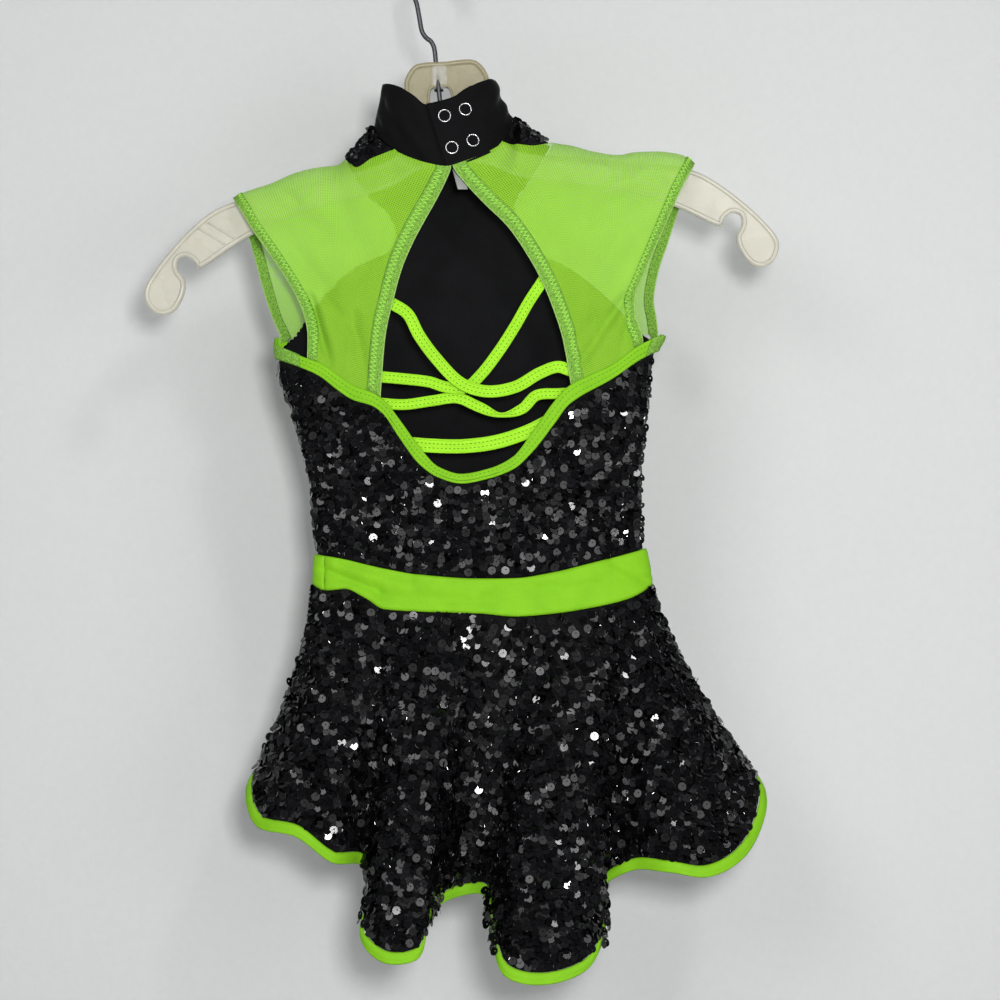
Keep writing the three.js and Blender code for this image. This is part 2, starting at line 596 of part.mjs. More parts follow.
/** Front bodice: rows between its side and halter edges, closed by the waist and the neck. */
function frontBodiceSurface() {
  const edge = (side, v) => {
    const bodyEdge = side === 'left' ? bodyLeft : bodyRight;
    if (v <= BODICE_SIDE) {
      const waist = waistTop('front')(bodyEdge(-329)) + SEAM_GAP;
      const z = lerp(waist, underarmPoint(side, 0, 1).z - SEAM_GAP, v / BODICE_SIDE);
      return { x: bodyEdge(z), z };
    }
    if (v <= BODICE_UNDERARM) {
      const along = (v - BODICE_SIDE) / (BODICE_UNDERARM - BODICE_SIDE);
      const point = underarmPoint(side, along, 1);
      const corner = underarmPoint(side, 1, 1);
      const seamEnd = halterCurve(side).getPoint(1);
      return {
        x: point.x + along * (seamEnd.x - corner.x),
        z: point.z - SEAM_GAP * (1 - along) + along * (seamEnd.z - corner.z - SEAM_GAP),
      };
    }
    const seam = halterCurve(side).getPoint(1 - (v - BODICE_UNDERARM) / (1 - BODICE_UNDERARM));
    return { x: seam.x, z: seam.z - SEAM_GAP * (1 - v) * 2 };
  };
  const neck = (x) => {
    if (x <= FOOT_LEFT || x >= FOOT_RIGHT) return crestZ(x);
    return Math.min(crestZ(x), neckEdge(x, 'front').z);
  };
  const ruled = (share, v) => {
    const left = edge('left', v);
    const right = edge('right', v);
    return { x: lerp(left.x, right.x, share), z: lerp(left.z, right.z, share) };
  };
  return (u, v) => {
    const share = (1 - Math.cos(Math.PI * u)) / 2;
    const row = ruled(share, v);
    const bottom = ruled(share, 0);
    const top = ruled(share, 1);
    const z = row.z + (1 - v) ** 2 * (waistTop('front')(bottom.x) + SEAM_GAP - bottom.z)
      + v ** 3 * (neck(top.x) - top.z);
    return bodyPoint(row.x, Math.min(z, neck(row.x)), 'front');
  };
}

/** Sequin piece beside the collar: between the ridge or collar's foot and the shoulder seam. */
function shoulderPieceSurface(side) {
  const seam = SHOULDER_SEAM[side];
  const trim = 1.8;
  const from = seam[0].x + trim;
  const to = seam[seam.length - 1].x - trim;
  const top = (x) => {
    if (x <= FOOT_LEFT || x >= FOOT_RIGHT) return crestZ(x);
    return Math.min(crestZ(x), neckEdge(x, 'back').z);
  };
  return (u, v) => {
    const x = lerp(from, to, u);
    const z = lerp(top(x), tableValue(seam, 'x', 'z', x) + SEAM_GAP * 2, v);
    return bodyPoint(x, z, 'back');
  };
}

/** Back binding: over the back for u 0 to 1, and on under each arm for u from -1 to 2. */
function bindingSurface() {
  return (u, v) => {
    const onBack = u >= 0 && u <= 1;
    if (!onBack) return underarmPoint(u < 0 ? 'left' : 'right', u < 0 ? -u : u - 1, v);
    const z = lerp(tubeZ(u, bindingUpper, -230), tubeZ(u, bindingLower, -230), v);
    const point = bodyPoint(tubeX(u, z), z, 'back');
    if (u === 0 || u === 1) point.y = 0;
    return point;
  };
}

/** Collar: one lapped turn, its free end slanting over the other. */
function collarSurface() {
  return (u, v) => {
    const angle = lerp(COLLAR.underEnd, lerp(COLLAR.overEndTop, COLLAR.overEndFoot, v), u);
    const under = clamp((angle - 30) / 40, 0, 1);
    const over = clamp((-170 - angle) / 40, 0, 1);
    return collarPoint(angle, v, COLLAR.lap * (over - under));
  };
}

/** Ring snap lying on the collar's lap. */
function snapMesh(name, spec) {
  const centre = lerp(COLLAR.top.x, COLLAR.foot.x, spec.drop);
  const halfWidth = lerp(COLLAR.top.halfWidth, COLLAR.foot.halfWidth, spec.drop) + COLLAR.lap;
  const angle = THREE.MathUtils.radToDeg(Math.acos((centre - spec.x) / halfWidth));
  const at = (a, d) => collarPoint(a, d, COLLAR.lap);
  const across = at(angle + 1, spec.drop).sub(at(angle - 1, spec.drop));
  const up = at(angle, spec.drop - 0.05).sub(at(angle, spec.drop + 0.05));
  const outward = across.cross(up).normalize();
  if (outward.y > 0) outward.negate();
  const { outerRadius, innerRadius, thickness } = SNAP;
  const half = thickness / 2;
  const profile = [[innerRadius, -half], [outerRadius, -half], [outerRadius, half], [innerRadius, half], [innerRadius, -half]];
  const geometry = new THREE.LatheGeometry(profile.map(([r, h]) => new THREE.Vector2(r, h)), 16);
  const mesh = clothMesh(name, geometry, MATERIALS.nickel);
  mesh.position.copy(at(angle, spec.drop)).addScaledVector(outward, WALL.velvet / 2 + SEAM_GAP + half + 0.15);
  mesh.quaternion.setFromUnitVectors(new THREE.Vector3(0, 1, 0), outward);
  return mesh;
}

/** Skirt: straight rows from the waist to a folded hem, u counting folds. */
function skirtSurface() {
  const hem = curveThrough(SKIRT_FOLDS, true);
  const count = SKIRT_FOLDS.length;
  const row = (i) => SKIRT_FOLDS[i % count];
  const column = (name, u, wrap) => {
    const i = Math.floor(u);
    return lerp(row(i)[name], row(i + 1)[name] + (i + 1 >= count ? wrap : 0), u - i);
  };
  return (u, v) => {
    const turn = Math.min(Math.max(u, 0), count - 1e-6);
    const share = column('share', turn, 1);
    const face = share < 0.5 ? 'back' : 'front';
    const tubeShare = share < 0.5 ? share * 2 : 2 - share * 2;
    const z = tubeZ(tubeShare, waistBottom(face), -350) - SEAM_GAP * 2;
    const waist = bodyPoint(tubeX(tubeShare, z), z, face);
    const end = hem.getPoint(turn / count);
    const open = v ** column('ease', turn, 0);
    return new THREE.Vector3(lerp(waist.x, end.x, open), lerp(waist.y, end.y, open), lerp(waist.z, end.z, v));
  };
}

/** Brief: one strip from the front waist under the crotch to the back waist. */
function briefSurface() {
  const last = BRIEF.length - 1;
  const path = curveThrough(BRIEF.map((row) => ({ x: row.halfWidth, y: row.side * row.depth, z: row.z })));
  return (u, v) => {
    const centre = path.getPoint(v);
    const across = 2 * u - 1;
    const share = v * last;
    const flat = Math.abs(share - last / 2) < 1.5;
    const round = flat ? 1 : Math.max(1 - Math.abs(across) ** SECTION_POWER, 0) ** (1 / SECTION_POWER);
    const y = centre.y * lerp(1, round, clamp((centre.z + 470) / -60, -1, 0) * -1);
    const edge = Math.sign(centre.y) * SEAM_GAP;
    return new THREE.Vector3(BRIEF_CENTRE_X + across * centre.x, y + edge, centre.z);
  };
}

/** Flat strap: a ribbon of even width along its centre line, just inside the back's bands. */
function strapSurface({ width, points }) {
  const inset = WALL.band / 2 + SEAM_GAP + WALL.strap / 2 + 0.2;
  const curve = curveThrough(points.map(({ x, z, out }) => ({ x, z, y: inset - bodyDepth(x, z, 'back') - out })));
  return (u, v) => {
    const across = new THREE.Vector3(0, -1, 0).cross(curve.getTangent(u)).normalize();
    return curve.getPoint(u).addScaledVector(across, (v - 0.5) * width);
  };
}

/** Blank tab sewn inside the collar's lap, hanging below it. */
function labelSurface() {
  const size = { width: 6.6, length: 13 };
  const top = new THREE.Vector3(8.5, -18.9, -112);
  return (u, v) => new THREE.Vector3(top.x + (u - 0.5) * size.width, top.y, top.z - v * size.length);
}

function hangerBodyGeometry() {
  const half = HANGER_OUTLINE;
  const mirrored = half.slice(1, -1).reverse().map(({ x, z }) => ({ x: -x, z }));
  const outline = [...half, ...mirrored].map(({ x, z }) => new THREE.Vector2(x, z));
  const shape = new THREE.Shape(outline);
  const geometry = new THREE.ExtrudeGeometry(shape, { depth: HANGER.thickness, bevelEnabled: false });
  geometry.translate(0, 0, -HANGER.thickness / 2);
  geometry.rotateX(Math.PI / 2);
  geometry.rotateY(-HANGER.tilt);
  geometry.translate(HANGER.centreX, 0, HANGER.centreZ);
  return geometry;
}

function hookGeometry() {
  const radius = HOOK.bendRadius + HOOK.wireRadius;
  const arc = steps(HOOK_ARC.steps).map((share) => {
    const angle = THREE.MathUtils.degToRad(lerp(HOOK_ARC.from, HOOK_ARC.to, share));
    return { x: radius * Math.cos(angle), z: -HOOK.bendRadius + radius * Math.sin(angle) };
  });
  const path = curveThrough([...HOOK_SHANK, ...arc]);
  const section = new THREE.Shape();
  section.absarc(0, 0, HOOK.wireRadius, 0, 2 * Math.PI, false);
  return new THREE.ExtrudeGeometry(section, { steps: 44, curveSegments: 8, extrudePath: path, bevelEnabled: false });
}

const paint = (color, roughness, metalness = 0) => new THREE.MeshStandardMaterial({ color, roughness, metalness });
const MATERIALS = {
  sequin: paint(0x1a1a1c, 0.3),
  mesh: paint(0x8ee82a, 0.8),
  lime: paint(0x8cf01e, 0.7),
  velvet: paint(0x0c0c0e, 0.95),
  nickel: paint(0xb8b8b8, 0.3, 1),
  label: paint(0xe6e6e2, 0.8),
  jersey: paint(0x111113, 0.9),
  plastic: paint(0xe6e0d2, 0.4),
  steel: paint(0x55565a, 0.4, 1),
};

function clothMesh(name, geometry, material) {
  const mesh = new THREE.Mesh(geometry, material);
  mesh.name = name;
  return mesh;
}

const leotard = new THREE.Group();
leotard.name = 'skirted_leotard_on_hanger';
const add = (name, geometry, material) => leotard.add(clothMesh(name, geometry, material));

/** Seam and neck places, so that the pieces on both sides of a seam share their columns. */
function seamColumns(side) {
  const seam = SHOULDER_SEAM[side].map((p) => p.x);
  const between = seam.slice(1).map((x, i) => (x + seam[i]) / 2);
  return [...seam, ...between].sort((a, b) => a - b);
}

const neckColumns = [-42.6, -41.6, -39.5, -35, -29, -23, -16, -8, 4, 15, 21, 26, 31, 35.5, 38, 39];

/** Even shares with given ones among them, none closer together than a fifth of a step. */
function sharesWith(count, given) {
  const inside = given.filter((share) => share > 0 && share < 1);
  const even = steps(count).filter((s) => s === 0 || s === 1 || inside.every((t) => Math.abs(s - t) > 0.2 / count));
  return [...even, ...inside].sort((a, b) => a - b);
}

const backColumns = steps(34);

function addBodices() {
  const lower = (x) => waistTop('back')(x) + SEAM_GAP;
  const upper = (x) => bindingLower(x) - SEAM_GAP;
  const back = tubePanel('back', upper, lower, -260);
  add('back_bodice', wallGeometry(back, backColumns, steps(6), WALL.sequin, 'back'), MATERIALS.sequin);
  const front = frontBodiceSurface();
  const [from, to] = [front(0, 1).x, front(1, 1).x];
  const neckShares = neckColumns.map((x) => Math.acos(1 - (2 * (x - from)) / (to - from)) / Math.PI);
  const underarm = steps(3).map((s) => lerp(BODICE_SIDE, BODICE_UNDERARM, s));
  const seam = yokeRows.map((v) => 1 - v * (1 - BODICE_UNDERARM)).reverse();
  const rows = [...steps(4).map((s) => s * BODICE_SIDE), ...underarm.slice(1), ...seam.slice(1)];
  add('front_bodice', wallGeometry(front, sharesWith(12, neckShares), rows, WALL.sequin, 'front'), MATERIALS.sequin);
}

function addYokes(side) {
  const back = backYokeSurface(side);
  const front = frontYokeSurface(side);
  const backPanel = betweenBands(back, ARMHOLE_BAND_WIDTH, KEYHOLE_BAND_WIDTH);
  const [from, to] = [backPanel(0, 0).x, backPanel(1, 0).x];
  const seamShares = [...seamColumns(side), ...neckColumns].map((x) => (x - from) / (to - from));
  const columns = sharesWith(12, seamShares.sort((a, b) => a - b));
  add(`back_yoke_${side}`, wallGeometry(backPanel, columns, yokeRows, WALL.mesh, 'back'), MATERIALS.mesh);
  const frontPanel = betweenBands(front, ARMHOLE_BAND_WIDTH, 0);
  add(`front_yoke_${side}`, wallGeometry(frontPanel, steps(6), yokeRows, WALL.mesh, 'front'), MATERIALS.mesh);
  const bandRows = [...yokeRows.slice(1).reverse().map((v) => -v), ...yokeRows];
  add(`armhole_band_${side}`, wallGeometry(armholeBandSurface(side), [0, 1], bandRows, WALL.band), MATERIALS.lime);
  const keyhole = (u, v) => back(1 - bandShare(back, v, 1, KEYHOLE_BAND_WIDTH - SEAM_GAP) * (1 - u), v);
  add(`keyhole_band_${side}`, wallGeometry(keyhole, steps(2), yokeRows, WALL.band, 'back'), MATERIALS.lime);
  const piece = shoulderPieceSurface(side);
  const [first, last] = [piece(0, 0).x, piece(1, 0).x];
  const pieceShares = [...seamColumns(side), ...neckColumns].map((x) => (x - first) / (last - first));
  const pieceColumns = sharesWith(6, pieceShares.sort((a, b) => a - b));
  add(`shoulder_piece_${side}`, wallGeometry(piece, pieceColumns, rolledRows(3), WALL.sequin, 'back'), MATERIALS.sequin);
}

function addCollar() {
  add('collar', wallGeometry(collarSurface(), steps(44), steps(2), WALL.velvet), MATERIALS.velvet);
  SNAPS.forEach((spec, i) => leotard.add(snapMesh(`snap_ring_${i + 1}`, spec)));
  add('neck_label', wallGeometry(labelSurface(), [0, 1], [0, 1], WALL.label), MATERIALS.label);
}

function addBindingAndStraps() {
  const shares = [-1, -0.66, -0.33, ...backColumns, 1.33, 1.66, 2];
  add('back_binding', wallGeometry(bindingSurface(), shares, [0, 1], WALL.band), MATERIALS.lime);
  for (const [name, strap] of Object.entries(STRAPS)) {
    add(name, wallGeometry(strapSurface(strap), steps(18), [0, 1], WALL.strap), MATERIALS.lime);
  }
}

/** Waistband: u 0 to 1 over the back, 1 to 2 back along the front. */
function waistbandSurface() {
  const panels = Object.fromEntries(['back', 'front'].map(
    (face) => [face, tubePanel(face, waistTop(face), waistBottom(face), -340)]));
  return (u, v) => {
    const point = u <= 1 ? panels.back(u, v) : panels.front(2 - u, v);
    if (u === 1) point.y = 0;
    return point;
  };
}

function addWaistAndSkirt() {
  const seamShare = 0.004;
  const round = steps(64).map((s) => (s === 0.5 ? 1 : lerp(seamShare, 2 - seamShare, s)));
  add('waistband', wallGeometry(waistbandSurface(), round, steps(2), WALL.spandex), MATERIALS.lime);
  const skirt = skirtSurface();
  const count = SKIRT_FOLDS.length;
  const trim = 0.015;
  const hemShare = (u) => 1 - HEM_BINDING_WIDTH / skirt(u, 0).distanceTo(skirt(u, 1));
  const columns = (from, to) => steps((to - from) * COLUMNS_PER_FOLD).map((s) => lerp(from + trim, to - trim, s));
  const panel = (u, v) => skirt(u, v * (hemShare(u) - SEAM_GAP / 120));
  const halves = { back: columns(0, SKIRT_RIGHT_FOLD), front: columns(SKIRT_RIGHT_FOLD, count) };
  for (const [face, shares] of Object.entries(halves)) {
    add(`skirt_${face}`, wallGeometry(panel, shares, steps(6), WALL.sequin, face), MATERIALS.sequin);
  }
  const binding = (u, v) => skirt(u, lerp(hemShare(u), 1, v));
  add('hem_binding', wallGeometry(binding, columns(0, count), [0, 1], WALL.band), MATERIALS.lime);
  add('brief', wallGeometry(briefSurface(), steps(10), steps(16), WALL.spandex), MATERIALS.jersey);
}

addBodices();
addYokes('left');
addYokes('right');
addCollar();
addBindingAndStraps();
addWaistAndSkirt();
add('hanger_body', hangerBodyGeometry(), MATERIALS.plastic);
add('hanger_hook', hookGeometry(), MATERIALS.steel);

export default leotard;
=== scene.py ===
"""Child's skirted dance leotard on a plastic hanger, seen from its back.

Sizes are in millimetres until a mesh is made. +Z is up, and the garment's back faces -Y.
"""
import logging
import math
from dataclasses import dataclass, field
from enum import Enum
from typing import Callable, Sequence

import bpy
import numpy as np
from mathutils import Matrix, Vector


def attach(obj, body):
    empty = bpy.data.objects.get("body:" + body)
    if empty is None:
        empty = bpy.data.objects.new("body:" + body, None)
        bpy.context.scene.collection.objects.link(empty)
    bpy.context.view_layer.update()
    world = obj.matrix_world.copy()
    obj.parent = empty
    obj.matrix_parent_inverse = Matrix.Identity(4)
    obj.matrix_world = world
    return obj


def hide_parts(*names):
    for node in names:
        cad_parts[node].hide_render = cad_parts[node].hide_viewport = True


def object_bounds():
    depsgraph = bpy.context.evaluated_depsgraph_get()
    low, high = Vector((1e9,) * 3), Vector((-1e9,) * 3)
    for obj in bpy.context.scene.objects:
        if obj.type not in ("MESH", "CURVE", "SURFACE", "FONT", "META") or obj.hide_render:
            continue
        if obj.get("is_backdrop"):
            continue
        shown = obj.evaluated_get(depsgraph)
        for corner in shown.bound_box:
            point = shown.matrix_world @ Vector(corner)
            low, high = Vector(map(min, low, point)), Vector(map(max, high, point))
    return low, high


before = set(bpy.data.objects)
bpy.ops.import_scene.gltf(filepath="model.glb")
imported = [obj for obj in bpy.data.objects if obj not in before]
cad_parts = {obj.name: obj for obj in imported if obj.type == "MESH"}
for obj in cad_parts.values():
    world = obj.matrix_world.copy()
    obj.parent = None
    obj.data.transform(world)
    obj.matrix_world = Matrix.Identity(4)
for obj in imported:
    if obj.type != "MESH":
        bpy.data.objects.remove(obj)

LOG = logging.getLogger("leotard")
MM = 0.001
BODY_NAME = "root"
SEAM_GAP = 0.3
# x of the garment's middle, and a length that only keeps divisions whole
MIDDLE_X = 19.0
TINY = 1e-9
CAD_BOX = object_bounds()

Array = np.ndarray
Surface = Callable[[Array, Array], Array]
Rows = Sequence[Sequence[float]]


class Face(Enum):
    """The two faces of the flat-hung garment."""

    BACK = -1
    FRONT = 1


class Side(Enum):
    """The two sides, seen from the back."""

    LEFT = "left"
    RIGHT = "right"


# Curves

class Profile:
    """Monotone cubic through (key, value) rows, with harmonic-mean slopes and clamped ends."""

    def __init__(self, rows: Rows, value: int = 1) -> None:
        """Keep the sorted keys, the values and the slopes.

        Args:
            rows: Table rows whose first column is the key.
            value: Column that holds the value.
        """
        table = np.asarray(rows, float)
        table = table[np.argsort(table[:, 0])]
        self.keys, self.values = table[:, 0], table[:, value]
        slopes = np.diff(self.values) / np.diff(self.keys)
        product = slopes[:-1] * slopes[1:]
        total = np.where(product > 0, slopes[:-1] + slopes[1:], 1.0)
        inner = np.where(product > 0, 2 * product / total, 0.0)
        self.tangents = np.concatenate([slopes[:1], inner, slopes[-1:]])

    def __call__(self, at: Array | float) -> Array:
        """Value at each key.

        Args:
            at: Keys.

        Returns:
            Hermite cubic h00*p0 + h10*d*m0 + h01*p1 + h11*d*m1 of each span.
        """
        at = np.clip(np.asarray(at, float), self.keys[0], self.keys[-1])
        i = np.clip(np.searchsorted(self.keys, at, side="right") - 1, 0, len(self.keys) - 2)
        span = self.keys[i + 1] - self.keys[i]
        t = (at - self.keys[i]) / span
        return ((2 * t**3 - 3 * t**2 + 1) * self.values[i] + (t**3 - 2 * t**2 + t) * span * self.tangents[i]
                + (3 * t**2 - 2 * t**3) * self.values[i + 1] + (t**3 - t**2) * span * self.tangents[i + 1])


class Path:
    """Centripetal Catmull-Rom curve through points, its parameter 0 to 1 with equal spans."""

    def __init__(self, points: Rows, closed: bool = False) -> None:
        """Pad the points at both ends.

        Args:
            points: Points of the curve.
            closed: Whether the last point joins the first.
        """
        p = np.asarray(points, float)
        if closed:
            self.points = np.vstack([p[-1:], p, p[:2]])
        else:
            self.points = np.vstack([2 * p[:1] - p[1:2], p, 2 * p[-1:] - p[-2:-1]])
        self.spans = len(self.points) - 3

    def __call__(self, t: Array | float) -> Array:
        """Points at parameters.

        Args:
            t: Parameters from 0 to 1.

        Returns:
            Points, with one more axis than t.
        """
        at = np.clip(np.asarray(t, float), 0, 1) * self.spans
        i = np.minimum(at.astype(int), self.spans - 1)
        w = (at - i)[..., None]
        p0, p1, p2, p3 = (self.points[i + k] for k in range(4))
        gaps = [np.maximum(np.linalg.norm(b - a, axis=-1, keepdims=True), TINY) ** 0.5
                for a, b in ((p0, p1), (p1, p2), (p2, p3))]
        m1 = ((p1 - p0) / gaps[0] - (p2 - p0) / (gaps[0] + gaps[1]) + (p2 - p1) / gaps[1]) * gaps[1]
        m2 = ((p2 - p1) / gaps[1] - (p3 - p1) / (gaps[1] + gaps[2]) + (p3 - p2) / gaps[2]) * gaps[1]
        return ((2 * w**3 - 3 * w**2 + 1) * p1 + (w**3 - 2 * w**2 + w) * m1
                + (3 * w**2 - 2 * w**3) * p2 + (w**3 - w**2) * m2)


def lerp(a: Array | float, b: Array | float, t: Array | float) -> Array:
    """Straight mix a + (b - a) * t."""
    return a + (b - a) * t


def unit(vectors: Array) -> Array:
    """Vectors over their own lengths."""
    return vectors / np.maximum(np.linalg.norm(vectors, axis=-1, keepdims=True), TINY)


def to_viewer(points: Array) -> Array:
    """The direction -y, once for each point."""
    return np.broadcast_to([0.0, -1.0, 0.0], points.shape)


def bump(value: Array, centre: float, width: float) -> Array:
    """Smooth hill exp(-((value - centre) / width)^2)."""
    return np.exp(-(((value - centre) / width) ** 2))


def crease(x: Array, z: Array, line: Sequence[float]) -> Array:
    """Depth of one soft crease.

    Args:
        x: Places across.
        z: Heights.
        line: Its ends x0, z0, x1, z1, then its depth and half width.

    Returns:
        depth * exp(-(distance to the line / width)^2), faded past the ends.
    """
    x0, z0, x1, z1, depth, width = line
    dx, dz = x1 - x0, z1 - z0
    length = math.hypot(dx, dz)
    along = ((x - x0) * dx + (z - z0) * dz) / length**2
    beyond = np.maximum(np.maximum(-along, along - 1), 0) * length
    off = ((x - x0) * dz - (z - z0) * dx) / length
    return depth * np.exp(-(off**2 + beyond**2) / width**2)


# Meshes

def grid_faces(rows: int, columns: int, closed: bool = False) -> Array:
    """Quads of a grid of points, row by row.

    Args:
        rows: Number of rows.
        columns: Number of columns.
        closed: Whether the last column joins the first.

    Returns:
        Corner indices, four a quad.
    """
    i, j = np.meshgrid(np.arange(rows - 1), np.arange(columns - (0 if closed else 1)), indexing="ij")
    k = (j + 1) % columns
    return np.stack([i * columns + j, (i + 1) * columns + j, (i + 1) * columns + k, i * columns + k], -1).reshape(-1, 4)


def grid_normals(points: Array) -> Array:
    """Unit normals of a grid: derivative down the rows crossed with that along them."""
    return unit(np.cross(np.gradient(points, axis=0), np.gradient(points, axis=1)))


def flat_lengths(points: Array) -> Array:
    """Lengths along and down the cloth at each grid point, for its UV map."""
    across = np.linalg.norm(np.diff(points, axis=1), axis=-1).mean(0)
    down = np.linalg.norm(np.diff(points, axis=0), axis=-1).mean(1)
    u = np.concatenate([[0], np.cumsum(across)])
    v = np.concatenate([[0], np.cumsum(down)])
    return np.stack(np.meshgrid(u, -v), -1)


def make_object(
    name: str, vertices: Array, faces: Array, finish: "Finish", uv: Array | None = None,
    smooth: bool = True, shade: Array | None = None,
) -> bpy.types.Object:
    """Put arrays into a mesh object at the origin, riding on the only body.

    Args:
        name: Piece name.
        vertices: Points in millimetres.
        faces: Corner indices, the same number a face.
        finish: Its finish.
        uv: Cloth lengths of each vertex, in millimetres.
        smooth: Whether faces are shaded smooth.
        shade: Value of each vertex for the attribute "shade".

    Returns:
        The new object.
    """
    vertices = vertices.reshape(-1, 3) * MM
    mesh = bpy.data.meshes.new(name)
    corners = faces.shape[1]
    mesh.vertices.add(len(vertices))
    mesh.loops.add(faces.size)
    mesh.polygons.add(len(faces))
    mesh.vertices.foreach_set("co", vertices.astype(np.float32).ravel())
    mesh.loops.foreach_set("vertex_index", faces.astype(np.int32).ravel())
    mesh.polygons.foreach_set("loop_start", np.arange(0, faces.size, corners, dtype=np.int32))
    mesh.polygons.foreach_set("use_smooth", np.full(len(faces), smooth))
    if uv is not None:
        layer = mesh.uv_layers.new(name="cloth")
        layer.data.foreach_set("uv", (uv.reshape(-1, 2)[faces.ravel()] * MM).astype(np.float32).ravel())
    if shade is not None:
        attribute = mesh.attributes.new("shade", "FLOAT", "POINT")
        attribute.data.foreach_set("value", shade.astype(np.float32).ravel())
    mesh.update(calc_edges=True)
    mesh.validate()
    obj = bpy.data.objects.new(name, mesh)
    bpy.context.scene.collection.objects.link(obj)
    mesh.materials.append(finish.material())
    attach(obj, BODY_NAME)
    return obj


def sheet_points(surface: Surface, columns: Array, rows: Array) -> Array:
    """Grid of surface points at lists of u and v."""
    u, v = np.meshgrid(columns, rows)
    return surface(u, v)


def facing(points: Array, normals: Array, centre_x: float = MIDDLE_X) -> float:
    """1 where normals point away from an upright line in the garment's middle, -1 where they point in."""
    arms = points - np.array([centre_x, 0, 0])
    arms[..., 2] = 0
    return 1.0 if (normals * arms).sum() >= 0 else -1.0


def outward(points: Array, centre_x: float = MIDDLE_X) -> float:
    """1 where a grid's own normals point away from the garment's middle, -1 where they point in."""
    return facing(points, grid_normals(points), centre_x)


def cloth_sheet(
    name: str, points: Array, finish: "Finish", thickness: float, centre_x: float = MIDDLE_X,
) -> bpy.types.Object:
    """Cloth on a grid of points, with its faces outwards and a wall where it has a thickness.

    Args:
        name: Piece name.
        points: Grid of points.
        finish: Its finish.
        thickness: Wall, or 0 for a single open sheet.
        centre_x: Line that the faces point away from.

    Returns:
        The new object.
    """
    faces = grid_faces(*points.shape[:2])
    if outward(points, centre_x) < 0:
        faces = faces[:, ::-1]
    obj = make_object(name, points, faces, finish, flat_lengths(points))
    if thickness > 0:
        wall = obj.modifiers.new("wall", "SOLIDIFY")
        wall.thickness = thickness * MM
        wall.offset = 0
        wall.use_even_offset = False
    return obj


def sweep(name: str, finish: "Finish", points: Array, normals: Array, half_width: float | Array,
          half_height: float | Array, sides: int = 8, closed: bool = False, tip: float = 0.02) -> bpy.types.Object:
    """Round or flattened bar along a path.

    Args:
        name: Piece name.
        finish: Its finish.
        points: Path points, or several paths on the first axis.
        normals: Direction of the bar's height at each point.
        half_width: Half its width.
        half_height: Half its height.
        sides: Points of its section.
        closed: Whether the path joins up.
        tip: Share of its section that each open end is drawn to.

    Returns:
        The piece, with vertices p + n*h*cos(a) + b*w*sin(a), where b is the path's direction crossed with n.
    """
    single = points.ndim == 2
    if single:
        points, normals = points[None], normals[None]
    count, length = points.shape[:2]
    if closed:
        along = np.roll(points, -1, 1) - np.roll(points, 1, 1)
    else:
        along = np.gradient(points, axis=1)
    across = unit(np.cross(unit(along), normals))
    height = unit(np.cross(across, unit(along)))
    a = 2 * np.pi * np.arange(sides) / sides
    w = np.broadcast_to(half_width, (count, length)).copy()
    h = np.broadcast_to(half_height, (count, length)).copy()
    if not closed:
        points = np.concatenate([points[:, :1], points, points[:, -1:]], 1)
        across = np.concatenate([across[:, :1], across, across[:, -1:]], 1)
        height = np.concatenate([height[:, :1], height, height[:, -1:]], 1)
        w = np.concatenate([w[:, :1] * tip, w, w[:, -1:] * tip], 1)
        h = np.concatenate([h[:, :1] * tip, h, h[:, -1:] * tip], 1)
        length += 2
    ring = (points[:, :, None] + height[:, :, None] * (h[..., None] * np.cos(a))[..., None]
            + across[:, :, None] * (w[..., None] * np.sin(a))[..., None])
    rows = length + 1 if closed else length
    one = grid_faces(rows, sides, closed=True) % (length * sides)
    faces = (one[None] + (np.arange(count) * length * sides)[:, None, None]).reshape(-1, 4)
    travel = np.concatenate([np.zeros((count, 1)), np.cumsum(np.linalg.norm(np.diff(points, axis=1), axis=-1), 1)], 1)
    uv = np.stack(np.broadcast_arrays(travel[..., None], (w[..., None] * a / np.pi)), -1)
    return make_object(name, ring, faces, finish, uv)


# Finishes

